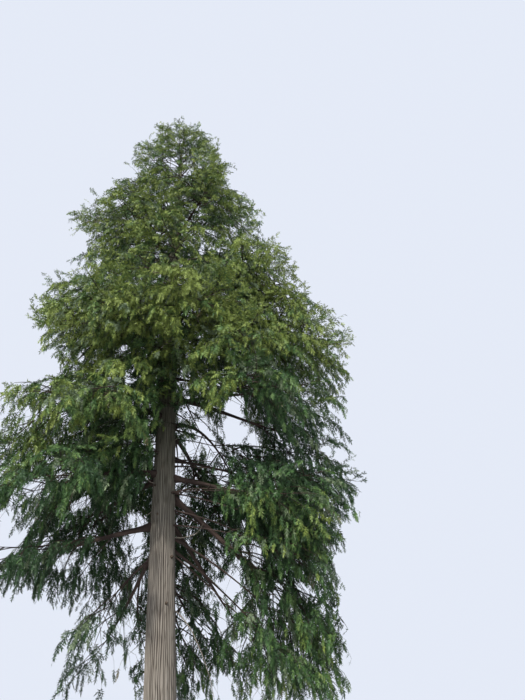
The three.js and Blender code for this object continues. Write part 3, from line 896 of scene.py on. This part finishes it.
def edge_room(places):
    """How far inside the crown's toothed edges each place is seen from the near side."""
    seen = on_trunk_plane(places)
    left = np.interp(seen[:, 2], *zip(*LEFT_EDGE), left=-99) + edge_teeth(seen[:, 2], SEED + 2)
    right = np.interp(seen[:, 2], *zip(*RIGHT_EDGE)) - edge_teeth(seen[:, 2], SEED + 3)
    return np.minimum(seen[:, 0] - left, right - seen[:, 0]) + EDGE_OUT


def spread_evenly(places, rng):
    """The order in which to keep the places so that no cell of the crown fills before the others."""
    cell = np.floor(places / EVEN_CELL).astype(int)
    key = (cell[:, 0] * CELL_KEY + cell[:, 1]) * CELL_KEY + cell[:, 2]
    order = rng.permutation(len(key))
    order = order[np.argsort(key[order], kind="stable")]
    starts = np.concatenate([[0], np.nonzero(np.diff(key[order]))[0] + 1])
    rank = np.arange(len(order)) - np.repeat(starts, np.diff(np.append(starts, len(order))))
    return order[np.argsort(rank, kind="stable")]


def over_trunk(places):
    """How far down the trunk in view each place lies that hides it: 0 for none, 1 for the lowest."""
    seen = on_trunk_plane(places)
    off = seen[:, 0] - trunk_axis(seen[:, 2])[:, 0]
    hides = (places[:, 1] < 0) & (np.abs(off) < trunk_radius(seen[:, 2]) + TRUNK_EDGE)
    down = share(seen[:, 2], *TRUNK_IN_VIEW) - LEFT_HIDDEN * (off < 0)
    return np.where(hides, np.clip(down, 0, 1), 0)


# Meshes from arrays


def link_object(name, data):
    made = bpy.data.objects.new(name, data)
    bpy.context.scene.collection.objects.link(made)
    return made


def add_mesh(name, places, faces, material, smooth=False, relief=None):
    """A piece with one material. Its faces are one array of quads or triangles."""
    mesh = bpy.data.meshes.new(name)
    mesh.vertices.add(len(places))
    mesh.vertices.foreach_set("co", np.ascontiguousarray(places, np.float32).ravel())
    count, corners = faces.shape
    mesh.loops.add(count * corners)
    mesh.loops.foreach_set("vertex_index", np.ascontiguousarray(faces, np.int32).ravel())
    mesh.polygons.add(count)
    mesh.polygons.foreach_set("loop_start", np.arange(0, count * corners, corners, dtype=np.int32))
    mesh.polygons.foreach_set("loop_total", np.full(count, corners, np.int32))
    if relief is not None:
        values = mesh.attributes.new("relief", "FLOAT", "POINT").data
        values.foreach_set("value", relief.astype(np.float32))
    mesh.update(calc_edges=True)
    mesh.validate()
    mesh.polygons.foreach_set("use_smooth", np.full(len(mesh.polygons), smooth))
    mesh.materials.append(material)
    return link_object(name, mesh)


def ring_faces(rings, sides):
    """Quads between the rings of one tube."""
    side = np.arange(sides)
    start = np.arange(rings - 1)[:, None] * sides
    a = start + side
    b = start + (side + 1) % sides
    return np.stack([a, b, b + sides, a + sides], axis=-1).reshape(-1, 4)


def tubes(paths, radii, sides):
    """Tubes along many paths of equally many points: places and quads. A radius is one for each
    point of the paths, or one for each side there too."""
    count, rings, _ = paths.shape
    ahead = unit(np.gradient(paths, axis=1))
    flat = unit(np.cross(UP, ahead[:, :1]) + NUDGE)
    side = unit(flat - ahead * np.sum(flat * ahead, axis=2, keepdims=True))
    up = np.cross(ahead, side)
    angle = np.arange(sides) * 2 * np.pi / sides
    ring = side[:, :, None] * np.cos(angle)[:, None] + up[:, :, None] * np.sin(angle)[:, None]
    each = radii[..., None, None] if radii.ndim == 2 else radii[..., None]
    places = paths[:, :, None] + ring * each
    starts = np.arange(count)[:, None, None] * rings * sides
    return places.reshape(-1, 3), (starts + ring_faces(rings, sides)).reshape(-1, 4)


# Materials


def new_material(name, roughness, specular):
    """A material, its node tree and its shader."""
    material = bpy.data.materials.new(name)
    material.use_nodes = True
    tree = material.node_tree
    shader = tree.nodes["Principled BSDF"]
    shader.inputs["Roughness"].default_value = roughness
    shader.inputs["Specular IOR Level"].default_value = specular
    return material, tree, shader


def add_node(tree, kind, **settings):
    node = tree.nodes.new(kind)
    for key, value in settings.items():
        if key in node.inputs:
            node.inputs[key].default_value = value
        else:
            setattr(node, key, value)
    return node


def object_place(tree):
    return add_node(tree, "ShaderNodeTexCoord").outputs["Object"]


def add_noise(tree, place, **settings):
    node = add_node(tree, "ShaderNodeTexNoise", **settings)
    tree.links.new(place, node.inputs["Vector"])
    return node.outputs["Fac"]


def add_ramp(tree, factor, shader, stops):
    """Colours the shader by a factor: pairs of a place and a colour."""
    node = tree.nodes.new("ShaderNodeValToRGB")
    elements = node.color_ramp.elements
    while len(elements) < len(stops):
        elements.new(0.5)
    for element, (place, colour) in zip(elements, stops):
        element.position = place
        element.color = (*colour, 1)
    tree.links.new(factor, node.inputs["Fac"])
    tree.links.new(node.outputs["Color"], shader.inputs["Base Color"])


def multiply_add(tree, value, factor, added=None):
    """A value times a factor, with another value added if there is one."""
    node = add_node(tree, "ShaderNodeMath", operation="MULTIPLY_ADD")
    node.inputs[1].default_value = factor
    node.inputs[2].default_value = 0
    tree.links.new(value, node.inputs[0])
    if added:
        tree.links.new(added, node.inputs[2])
    return node.outputs[0]


def add_bump(tree, height, shader, strength, distance):
    bump = add_node(tree, "ShaderNodeBump", Strength=strength, Distance=distance)
    tree.links.new(height, bump.inputs["Height"])
    tree.links.new(bump.outputs["Normal"], shader.inputs["Normal"])


def spray_material(name, dark, mid, light):
    """Patches of three tones with a fine grain."""
    material, tree, shader = new_material(name, roughness=0.55, specular=0.35)
    place = object_place(tree)
    patches = add_noise(tree, place, Scale=11.0, Detail=3.0, Roughness=0.7)
    add_ramp(tree, patches, shader, [(0.3, dark), (0.5, mid), (0.72, light)])
    grain = add_noise(tree, place, Scale=90.0, Detail=2.0)
    add_bump(tree, grain, shader, strength=0.35, distance=0.004)
    return material


def twig_material(name, dark, light):
    material, tree, shader = new_material(name, roughness=0.8, specular=0.25)
    grain = add_noise(tree, object_place(tree), Scale=9.0, Detail=4.0, Roughness=0.7)
    add_ramp(tree, grain, shader, [(0.3, dark), (0.7, light)])
    return material


def bark_material(name, fissure, side, ridge, fibre_scale, roughness):
    """Bark coloured by its relief, darker in the fissures, partly its own tone and partly painted shade,
    with fine fibres along the trunk.
    """
    material, tree, shader = new_material(name, roughness, specular=0.2)
    stretch = add_node(tree, "ShaderNodeMapping", Scale=FIBRE_STRETCH)
    tree.links.new(object_place(tree), stretch.inputs["Vector"])
    fibres = add_noise(tree, stretch.outputs["Vector"], Scale=fibre_scale, Detail=6.0, Roughness=0.7)
    relief = add_node(tree, "ShaderNodeAttribute", attribute_name="relief").outputs["Fac"]
    fine = multiply_add(tree, fibres, FIBRE_TONE)
    tone = multiply_add(tree, relief, RELIEF_TONE, fine)
    add_ramp(tree, tone, shader, [(0.18, fissure), (0.55, side), (0.95, ridge)])
    add_bump(tree, fibres, shader, strength=0.7, distance=0.02)
    return material


def tint_with_height(material, heights, tint):
    """Multiplies the base colour by a tint that comes in between two heights."""
    tree = material.node_tree
    base = tree.nodes["Principled BSDF"].inputs["Base Color"]
    colour = base.links[0].from_socket
    split = add_node(tree, "ShaderNodeSeparateXYZ")
    tree.links.new(object_place(tree), split.inputs[0])
    rise = add_node(tree, "ShaderNodeMapRange")
    rise.inputs["From Min"].default_value, rise.inputs["From Max"].default_value = heights
    tree.links.new(split.outputs["Z"], rise.inputs["Value"])
    blend = add_node(tree, "ShaderNodeMix", data_type="RGBA", blend_type="MULTIPLY")
    tree.links.new(rise.outputs["Result"], blend.inputs["Factor"])
    tree.links.new(colour, blend.inputs["A"])
    blend.inputs["B"].default_value = (*tint, 1)
    tree.links.new(blend.outputs["Result"], base)


# Pieces

# Bark of the trunk: ridges that wander, with fine fibres on them and cracks across them. Each
# noise has its cells round the trunk, their length in metres and its seed.
BARK_COLUMNS = 340
BARK_RINGS = 270
RING_SPREAD = 1.15
BARK_RIDGES = 46
WANDER = (10, 3.2, 1)
FINER_WANDER = (40, 1.1, 2)
FIBRES = (80, 0.5, 3)
CRACKS = (34, 0.75, 4)
WANDER_SIZES = (1.5, 0.9)
RIDGE_EDGE = (0.35, 0.95)
CRACK_WIDTH = 0.3
CRACK_DEPTH = 0.3
RIDGE_PART = 0.72
FIBRE_PART = 0.28
FIBRE_IN_FISSURE = 0.4
BARK_DEPTH = 0.055
BARK_LEVEL = 0.75
FIBRE_STRETCH = (1, 1, 0.07)
FIBRE_TONE = 0.45
RELIEF_TONE = 0.75

# Colours of bark and wood, from dark to light
TRUNK_COLOURS = (0.024, 0.020, 0.018), (0.092, 0.080, 0.067), (0.188, 0.170, 0.149)
# Higher up, the trunk's colour is multiplied by a darker green: moss, and painted shade under the crown.
TRUNK_SHADE_AND_MOSS = (0.85, 0.97, 0.78)
TRUNK_SHADE_AND_MOSS_HEIGHTS = (10.5, 18.0)
BOUGH_COLOURS = (0.010, 0.007, 0.007), (0.032, 0.022, 0.019), (0.082, 0.057, 0.047)
DEAD_COLOURS = (0.13, 0.11, 0.09), (0.34, 0.30, 0.25)
STUB_COLOURS = (0.020, 0.014, 0.010), (0.100, 0.075, 0.055)
TWIG_COLOURS = (0.013, 0.009, 0.008), (0.050, 0.034, 0.026)
GREEN_TWIG_COLOURS = (0.012, 0.026, 0.010), (0.042, 0.062, 0.024)


def close_ends(piece, columns):
    """A flat face over the first and the last ring of a tube."""
    made = bmesh.new()
    made.from_mesh(piece.data)
    made.verts.ensure_lookup_table()
    count = len(made.verts)
    made.faces.new([made.verts[i] for i in range(columns)][::-1]).smooth = False
    made.faces.new([made.verts[count - columns + i] for i in range(columns)]).smooth = False
    made.to_mesh(piece.data)
    made.free()


def trunk_noise(turn, z, kind):
    cells, length, seed = kind
    return noise(turn * cells, z / length, cells, seed)


def trunk_relief(turn, z):
    """Height of the bark between 0 and 1, at a share of a turn round the trunk and a height."""
    coarse, finer = (trunk_noise(turn, z, kind) - 0.5 for kind in (WANDER, FINER_WANDER))
    wander = WANDER_SIZES[0] * coarse + WANDER_SIZES[1] * finer
    edge = np.abs((turn * BARK_RIDGES + wander) % 1 - 0.5) * 2
    ridge = 1 - smoothstep(*RIDGE_EDGE, edge)
    fibre = trunk_noise(turn, z, FIBRES) * mix(FIBRE_IN_FISSURE, 1, ridge)
    crack = 1 - smoothstep(0.0, CRACK_WIDTH, np.abs(trunk_noise(turn, z, CRACKS) - 0.5) * 2)
    return np.clip(RIDGE_PART * ridge + FIBRE_PART * fibre - CRACK_DEPTH * crack, 0, 1)


def make_trunk():
    heights = TRUNK_TOP * np.linspace(0, 1, BARK_RINGS) ** RING_SPREAD
    z, angle = np.meshgrid(heights, np.arange(BARK_COLUMNS) * 2 * np.pi / BARK_COLUMNS, indexing="ij")
    relief = trunk_relief(angle / (2 * np.pi), z)
    radius = trunk_radius(z)
    out = radius + root_flare(z, angle) + (relief - BARK_LEVEL) * BARK_DEPTH * radius
    round_axis = np.stack([np.cos(angle), np.sin(angle), 0 * angle], axis=-1)
    places = trunk_axis(z) + out[..., None] * round_axis
    material = bark_material("trunk_bark", *TRUNK_COLOURS, fibre_scale=26, roughness=0.92)
    tint_with_height(material, TRUNK_SHADE_AND_MOSS_HEIGHTS, TRUNK_SHADE_AND_MOSS)
    faces = ring_faces(BARK_RINGS, BARK_COLUMNS)
    piece = add_mesh("trunk_bark", places.reshape(-1, 3), faces, material, True, relief.ravel())
    close_ends(piece, BARK_COLUMNS)
    return piece


# Limbs, which swell into a collar where they leave the trunk. Each noise of their bark has its
# cells round the limb, rings to a cell, shift from limb to limb, share and seed.
LIMB_SIDES = 12
LIMB_RINGS = STEM_STEPS + 1
THIN_LIMB_SIDES = 7
THIN_LIMB_RINGS = 19
COLLAR_SWELLS = 0.75
COLLAR_FADES = 0.16
LIMB_END = 0.2
LIMB_BARK_DEPTH = 0.16
LIMB_BARK = [(6, 3.1, 7.3, 0.6, 5), (12, 0.9, 3.7, 0.4, 6)]
SHORTEST_BOUGH = 0.4

# Dead limbs wander from their curve and thin out, and stubs flare where they leave the trunk.
DEAD_LIMB_SIDES = 6
DEAD_LIMB_SWEEP = 25
DEAD_LIMB_START = 0.9
DEAD_LIMB_THINS = 0.8
DEAD_LIMB_WANDER = 0.004
STUB_SIDES = 8
STUB_RISE = 0.25
STUB_INSIDE = 0.03
STUB_LENGTH = 0.06
STUB_PROFILE = np.array([1.5, 1.1, 1.0, 0.9, 0.1])

# Twigs: radius as a share of length, its limits, and the share of it that is left at the end
TWIG_SIDES = 3
BRANCH_THICKNESS = 0.011
BRANCH_RADIUS = (0.01, 0.03)
BRANCH_END = 0.3
BRANCH_RINGS = 7
BRANCHLET_THICKNESS = 0.0065
BRANCHLET_RADIUS = (0.0035, 0.008)
BRANCHLET_END = 0.4
BRANCHLET_RINGS = 3
SPLIT_HEIGHT = 19.0


def limb_shares(limb, last=1.0, rings=LIMB_RINGS):
    """Shares of the reach from inside the trunk, or from where a fork leaves its bough, to the tip
    or to a share of the way there."""
    start, end = limb.get("start", 0), limb.get("end", 1)
    if limb["label"] not in ("leader", "fork"):
        start = LIMB_START * float(trunk_radius(limb["height"])) / limb["reach"]
    return np.linspace(start, mix(start, end, last), rings)


def make_boughs(name, limbs, last, rings, sides):
    """The limbs that carry sprays, each up to a share of its reach, with the bark's relief."""
    kept = [(limb, limb_shares(limb, own, rings)) for limb, own in zip(limbs, last) if own > 0]
    stems = np.stack([limb_place(limb, shares) for limb, shares in kept])
    radii = np.stack([limb_radius(limb, shares) for limb, shares in kept])
    radii[:, -1] *= LIMB_END
    off = off_trunk(stems.reshape(-1, 3)).reshape(radii.shape)
    collar = 1 + COLLAR_SWELLS * np.exp(-np.maximum(off, 0) / COLLAR_FADES)
    is_leader = np.array([limb["label"] == "leader" for limb, _ in kept])[:, None]
    radii = radii * np.where(is_leader, 1, collar)
    which, ring, side = np.meshgrid(np.arange(len(kept)), np.arange(rings), np.arange(sides), indexing="ij")
    ring = ring * LIMB_RINGS / rings
    relief = sum(own * noise(side * cells / sides, ring / length + which * shift, cells, seed)
                 for cells, length, shift, own, seed in LIMB_BARK)
    thick = radii[..., None] * (1 + LIMB_BARK_DEPTH * (relief - 0.5))
    places, faces = tubes(stems, thick, sides)
    material = bark_material(name + "_bark", *BOUGH_COLOURS, fibre_scale=30, roughness=0.85)
    return add_mesh(name, places, faces, material, True, relief.ravel())


def make_dead_limbs():
    s = np.linspace(0, 1, LIMB_RINGS)
    rng = np.random.default_rng(SEED + 1)
    paths, radii = [], []
    for azimuth, height, reach, rise, fall, radius in DEAD_LIMBS:
        limb = dict(label="dead", azimuth=azimuth, height=height, reach=reach, rise=rise, fall=fall)
        limb["sweep"] = rng.uniform(-DEAD_LIMB_SWEEP, DEAD_LIMB_SWEEP)
        start = DEAD_LIMB_START * float(trunk_radius(height)) / reach
        wander = np.cumsum(rng.normal(0, DEAD_LIMB_WANDER, (LIMB_RINGS, 3)), axis=0)
        paths.append(limb_place(limb, start + s) + wander)
        radii.append(radius * (1 - DEAD_LIMB_THINS * s))
    radii = np.stack(radii)
    radii[:, -1] *= LIMB_END
    places, faces = tubes(np.stack(paths), radii, DEAD_LIMB_SIDES)
    return add_mesh("dead_limbs", places, faces, twig_material("dead_bark", *DEAD_COLOURS), True)


def make_stubs():
    """Short stubs of lost limbs on the trunk."""
    s = np.linspace(0, 1, len(STUB_PROFILE))[:, None]
    paths, radii = [], []
    for azimuth, height, radius in STUBS:
        turn = math.radians(azimuth)
        out = np.array([math.cos(turn), math.sin(turn), STUB_RISE])
        start = trunk_axis(height) + out * (float(trunk_radius(height)) - STUB_INSIDE)
        paths.append(start + out * s * (STUB_LENGTH + radius))
        radii.append(radius * STUB_PROFILE)
    places, faces = tubes(np.stack(paths), np.stack(radii), STUB_SIDES)
    return add_mesh("stubs", places, faces, twig_material("stub_wood", *STUB_COLOURS))


def make_twigs(branches, branchlets, sprays):
    """Branches and branchlets up to the last spray that each carries."""
    fine, carrying = cut_back(branchlets["paths"], sprays["parent"], sprays["share"], BRANCHLET_RINGS)
    shown = pick(branchlets, carrying)
    paths, kept = cut_back(branches["paths"], shown["parent"], shown["share"], BRANCH_RINGS)
    radii = branches["radius"][kept][:, None] * np.linspace(1, BRANCH_END, BRANCH_RINGS)
    brown = twig_material("twig_bark", *TWIG_COLOURS)
    pieces = [add_mesh("branches", *tubes(paths, radii, TWIG_SIDES), brown, True)]
    radii = np.clip(shown["length"] * BRANCHLET_THICKNESS, *BRANCHLET_RADIUS)[:, None]
    radii = radii * np.linspace(1, BRANCHLET_END, BRANCHLET_RINGS)
    lower = shown["paths"][:, 0, 2] < SPLIT_HEIGHT
    green = twig_material("green_twig", *GREEN_TWIG_COLOURS)
    for name, chosen in (("lower_branchlets", lower), ("upper_branchlets", ~lower)):
        places, faces = tubes(fine[chosen], radii[chosen], TWIG_SIDES)
        pieces.append(add_mesh(name, places, faces, green, True))
    return pieces


# A spray: narrow pointed lobes to left and right in turn, whose roots meet along its middle, and
# one at its end. Each stands out of the spray's plane by a little. Lengths and widths are shares
# of the spray's own length, turns are degrees.
LOBES = 6
LOBE_ROOTS = (0.05, 0.7)
LOBE_LENGTH = (0.5, 0.26)
LOBE_TAPER = 1.3
SHORTER_LOBES = 2
SHORTER = 0.8
LOBE_WIDTH = (0.25, 0.19)
LOBE_TURN = (56, 30)
LOBE_RAISED = 0.24
LOBE_WAVE = (2.4, 0.7)
FOOT_RAISED = (-0.4, 0.2)
END_RAISED = 0.04
END_LOBE = (0.6, 0.19)
SAG = (0.05, 0.3)
CUP = (-0.5, 0.9)


def spray_template():
    """Triangles: [along, across, raised] of three corners each."""
    root, width = END_LOBE
    corners = [[(root, -width / 2, 0), (1, 0, END_RAISED), (root, width / 2, 0)]]
    for i in range(LOBES):
        up = i / (LOBES - 1)
        root, half = mix(*LOBE_ROOTS, up), mix(*LOBE_WIDTH, up) / 2
        length = mix(*LOBE_LENGTH, up ** LOBE_TAPER) * (SHORTER if i < SHORTER_LOBES else 1)
        turn = math.radians(mix(*LOBE_TURN, up))
        side = 1 if i % 2 else -1
        raised = LOBE_RAISED * math.sin(LOBE_WAVE[0] * i + LOBE_WAVE[1])
        tip = (root + length * math.cos(turn), side * length * math.sin(turn), raised)
        first, second = (raised * part for part in FOOT_RAISED)
        corners.append([(root - half, 0, first), tip, (root + half, 0, second)])
    return np.array(corners, float)


def spray_meshes(sprays, rng):
    """The places of the corners of the sprays, and their triangles. Sprays sag and are cupped."""
    corners = spray_template().reshape(-1, 3)
    ahead = sprays["ahead"]
    level = unit(np.cross(UP, ahead) + NUDGE)
    roll = sprays["roll"][:, None]
    side = level * np.cos(roll) + np.cross(ahead, level) * np.sin(roll)
    normal = np.cross(ahead, side)
    along_rib, out, raised = corners.T
    sag = rng.uniform(*SAG, len(ahead))[:, None]
    cup = rng.uniform(*CUP, len(ahead))[:, None]
    shape = (ahead[:, None] * along_rib[:, None] + side[:, None] * out[:, None]
             + normal[:, None] * (raised - cup * out * out)[..., None]
             - UP * (sag * along_rib * along_rib)[..., None])
    places = sprays["root"][:, None] + sprays["size"][:, None, None] * shape
    return places.reshape(-1, 3), np.arange(len(ahead) * len(corners)).reshape(-1, 3)


# Sprays are dealt out to these colours, from painted shade on the inside of the crown to painted light
# on its outside, with tones that also differ at random: the share of the sprays, then dark, middle and
# light tones.
SPRAY_COLOURS = [
    ("sprays_deep", 0.20, (0.007, 0.024, 0.008), (0.017, 0.047, 0.015), (0.034, 0.075, 0.024)),
    ("sprays_dark", 0.19, (0.014, 0.040, 0.011), (0.031, 0.079, 0.020), (0.058, 0.121, 0.032)),
    ("sprays_green", 0.20, (0.027, 0.060, 0.015), (0.060, 0.116, 0.029), (0.102, 0.170, 0.047)),
    ("sprays_olive", 0.18, (0.042, 0.073, 0.015), (0.092, 0.141, 0.029), (0.150, 0.207, 0.050)),
    ("sprays_bright", 0.14, (0.062, 0.091, 0.016), (0.135, 0.180, 0.034), (0.212, 0.263, 0.062)),
]

# The last two go to tufts here and there instead: a greyer green that paints the sky's sheen on them,
# and a few dry brown ones.
TUFT_SHUFFLE = 97
TUFT_COLOURS = [
    ("sprays_grey", 0.10, (0.036, 0.058, 0.030), (0.083, 0.119, 0.061), (0.160, 0.206, 0.115)),
    ("sprays_dry", 0.004, (0.056, 0.048, 0.024), (0.150, 0.132, 0.070), (0.300, 0.270, 0.160)),
]

# What makes a spray lighter: how far out it is, which paints light on the outside of the crown and
# shade inside it, traits of its branch, tuft and own, chance and its place. Painted light makes foliage
# lighter high up and on the near side, and painted shade makes it darker in a band on the right and
# low on the left.
LIGHTER_BY = dict(outer=0.26, tint=0.19, tuft=0.23, share=0.12, own=0.08)
CHANCE = 0.1
HIGH_PAINTED_LIGHT = 0.16
NEAR_PAINTED_LIGHT = 0.12
BAND_PAINTED_SHADE = 0.25
LOW_LEFT_PAINTED_SHADE = 0.2
LIGHTER_ABOVE = (9.0, 18.0)
LIGHTER_NEAR = (0.0, -4.0)
SHADED_SIDE = (0.5, 3.0)
SHADED_FROM = (10.5, 12.5)
SHADED_TO = (15.5, 18.0)
DARK_BELOW = (10.3, 13.8)
DARK_LEFT = (-1.5, 1.0)


def deal_colours(sprays, rng):
    """The colour of each spray, as an index into the two lists."""
    x, y, z = sprays["root"].T
    score = sum(weight * sprays[key] for key, weight in LIGHTER_BY.items()) + rng.uniform(0, CHANCE, len(x))
    # Painted light high up and on the near side; painted shade in a band on the right and low on the left.
    score += HIGH_PAINTED_LIGHT * smoothstep(*LIGHTER_ABOVE, z) + NEAR_PAINTED_LIGHT * smoothstep(*LIGHTER_NEAR, y)
    shaded = smoothstep(*SHADED_SIDE, x) * (smoothstep(*SHADED_FROM, z) - smoothstep(*SHADED_TO, z))
    low_left_shade = (1 - smoothstep(*DARK_BELOW, z)) * (1 - smoothstep(*DARK_LEFT, x))
    score -= BAND_PAINTED_SHADE * shaded + LOW_LEFT_PAINTED_SHADE * low_left_shade
    rank = np.empty(len(score))
    rank[np.argsort(score, kind="stable")] = (np.arange(len(score)) + 0.5) / len(score)
    edges = np.cumsum([portion for _, portion, *_ in SPRAY_COLOURS])
    colour = np.searchsorted(edges / edges[-1], rank)
    chance = (sprays["tuft"] * TUFT_SHUFFLE) % 1
    for index, (_, portion, *_) in enumerate(TUFT_COLOURS):
        colour[chance < portion] = len(SPRAY_COLOURS) + index
        chance = np.where(chance < portion, 1, chance - portion)
    return colour


def make_sprays(sprays, rng):
    colour = deal_colours(sprays, rng)
    pieces = []
    for index, (name, _, dark, mid, light) in enumerate(SPRAY_COLOURS + TUFT_COLOURS):
        places, faces = spray_meshes(pick(sprays, colour == index), rng)
        pieces.append(add_mesh(name, places, faces, spray_material(name, dark, mid, light)))
    return pieces


# The tree


def keep_branchlets(limbs, branches, branchlets, rng):
    """The branchlets that thinner limbs, gaps and the crown's thinned and toothed edges leave."""
    paths, parent = branches["paths"], branchlets["parent"]
    full = np.array([THIN_LIMBS.get(limb.get("bough", limb["label"]), 1) for limb in limbs])
    stays = rng.uniform(0, 1, len(parent)) < full[branchlets["limb"]]
    crosses = rng.uniform(0, 1, len(paths)) < GAP_CROSSED
    clear = np.where(crosses, clear_share(paths, LIMB_GAP), clear_share(paths, BRANCH_GAP_RADIUS))
    stays &= branchlets["share"] < clear[parent]
    stays &= edge_room(branchlets["paths"][:, -1]) > EDGE_VARIES * branchlets["tint"]
    open_top = OPEN_TOP * smoothstep(*OPEN_FROM, branches["outer"]) * (1 - branches["weep"])
    thin_edge = EDGE_THINNED * (1 - smoothstep(*EDGE_BAND, edge_room(paths[:, -1])))
    dropped = rng.uniform(0, 1, len(paths)) < np.maximum(open_top, thin_edge)
    stays &= ~(dropped & (branches["share"] < 1))[parent]
    past_edge = edge_room(paths.reshape(-1, 3)) < 0
    stays &= branchlets["share"] < share_before(past_edge, paths)[parent]
    return pick(branchlets, stays)


def keep_sprays(limbs, sprays, rng):
    """The sprays in the part's crown that hide neither a gap nor the trunk, evenly thinned out."""
    root, tuft = sprays["root"], sprays["tuft"]
    tips = root + sprays["ahead"] * sprays["size"][:, None]
    table = crown_reach(frame["nodes"])
    sprays["outer"] = outer_share(tips, table)
    is_shoot = np.array([limb["label"] == "shoot" for limb in limbs])[sprays["limb"]]
    fits = is_shoot | within_reach(tips, solid_tree(frame["nodes"]), table)
    fits &= (off_trunk(root) > OFF_TRUNK[0]) & (off_trunk(tips) > OFF_TRUNK[1])
    edge = mix(*GAP_EDGE, tuft)
    fits &= ~in_gap(tips, edge) & ~in_gap(root, edge * GAP_EDGE_AT_ROOT)
    fits &= edge_room(tips) > 0
    hiding = np.maximum(over_trunk(tips), over_trunk(root))
    fits &= (hiding == 0) | (tuft < SPRAYS_OVER_TRUNK * (1 - hiding))
    kept = np.nonzero(fits)[0]
    if len(kept) > MOST_SPRAYS:
        kept = np.sort(kept[spread_evenly(tips[kept], rng)[:MOST_SPRAYS]])
    return pick(sprays, kept)


def make_limb_pieces(limbs, last):
    """The part's own limbs, and the added ones, which are thinner, up to their last sprays."""
    is_added = np.array([limb["label"] in ADDED for limb in limbs])
    main, added = ([limbs[i] for i in np.nonzero(chosen)[0]] for chosen in (~is_added, is_added))
    last_main = np.maximum(last[~is_added], SHORTEST_BOUGH)
    boughs = make_boughs("boughs", main, last_main, LIMB_RINGS, LIMB_SIDES)
    thin = make_boughs("thin_boughs", added, last[is_added], THIN_LIMB_RINGS, THIN_LIMB_SIDES)
    return boughs, thin


def make_tree():
    """Grows the tree, makes its pieces, hides the parts of the model that they replace, and attaches the
    pieces to the root body.
    """
    rng = np.random.default_rng(SEED)
    limbs = make_limbs()
    limbs += make_forks(limbs, rng)
    stems = np.stack([limb_place(limb, limb_shares(limb)) for limb in limbs])
    avoids_gaps = np.array([limb["label"] in ("fill", "fork") for limb in limbs])
    clear = np.nonzero(~avoids_gaps | (clear_share(stems, LIMB_GAP) > 1))[0]
    limbs = [limbs[i] for i in clear]
    branches = grow_branches(limbs, stems[clear], rng)
    branchlets = keep_branchlets(limbs, branches, grow_branchlets(branches, rng), rng)
    sprays = keep_sprays(limbs, grow_sprays(branchlets, rng), rng)
    carrying = pick(branches, branchlets["parent"][sprays["parent"]])
    last = last_shares(len(limbs), carrying["parent"], carrying["share"])
    trunk = make_trunk()
    boughs, thin_boughs = make_limb_pieces(limbs, last)
    dead = make_dead_limbs()
    stubs = make_stubs()
    leaves = make_sprays(sprays, rng)
    twigs = make_twigs(branches, branchlets, sprays)
    names = list(frame["nodes"])
    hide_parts("trunk")
    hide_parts(*[n for n in names if n.startswith("bough_")])
    for piece in leaves:
        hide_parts(*[n for n in names if n.startswith("foliage_")])
    for piece in [trunk, boughs, thin_boughs, dead, stubs, *leaves, *twigs]:
        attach(piece, "root")


# Stage, light and camera


def make_camera():
    data = bpy.data.cameras.new("camera")
    data.sensor_width = SENSOR
    data.lens = FOCAL_PIXELS / FRAME_HEIGHT * SENSOR
    data.clip_end = CAMERA_SIGHT
    camera = link_object("camera", data)
    pitch, yaw, roll = map(math.radians, (CAMERA_PITCH, CAMERA_YAW, CAMERA_ROLL))
    forward = np.array([math.sin(yaw) * math.cos(pitch), math.cos(yaw) * math.cos(pitch), math.sin(pitch)])
    level = np.array([math.cos(yaw), -math.sin(yaw), 0])
    upright = np.cross(level, forward)
    right = level * math.cos(roll) + upright * math.sin(roll)
    up = -level * math.sin(roll) + upright * math.cos(roll)
    rows = [[right[i], up[i], -forward[i], CAMERA_PLACE[i]] for i in range(3)]
    camera.matrix_world = Matrix([*rows, [0, 0, 0, 1]])
    bpy.context.scene.camera = camera


def make_stage():
    far = FLOOR_HALF
    places = np.array([[-far, -far, 0], [far, -far, 0], [far, far, 0], [-far, far, 0]], float)
    material, _, shader = new_material("floor", roughness=0.9, specular=0.5)
    shader.inputs["Base Color"].default_value = FLOOR_COLOUR
    floor = add_mesh("floor", places, np.array([[0, 1, 2, 3]]), material)


def make_light():
    world = bpy.data.worlds.new("studio")
    world.use_nodes = True
    bpy.context.scene.world = world
    bpy.context.scene.view_settings.view_transform = "Standard"
    background = world.node_tree.nodes["Background"]
    background.inputs["Color"].default_value = SKY_COLOUR
    background.inputs["Strength"].default_value = SKY_STRENGTH
    for name, strength, width, colour, tilt, turn in SUNS:
        data = bpy.data.lights.new(name, "SUN")
        data.energy = strength
        data.angle = math.radians(width)
        data.color = colour
        link_object(name, data).rotation_euler = (math.radians(tilt), 0, math.radians(turn))


make_stage()
make_light()
make_camera()
make_tree()
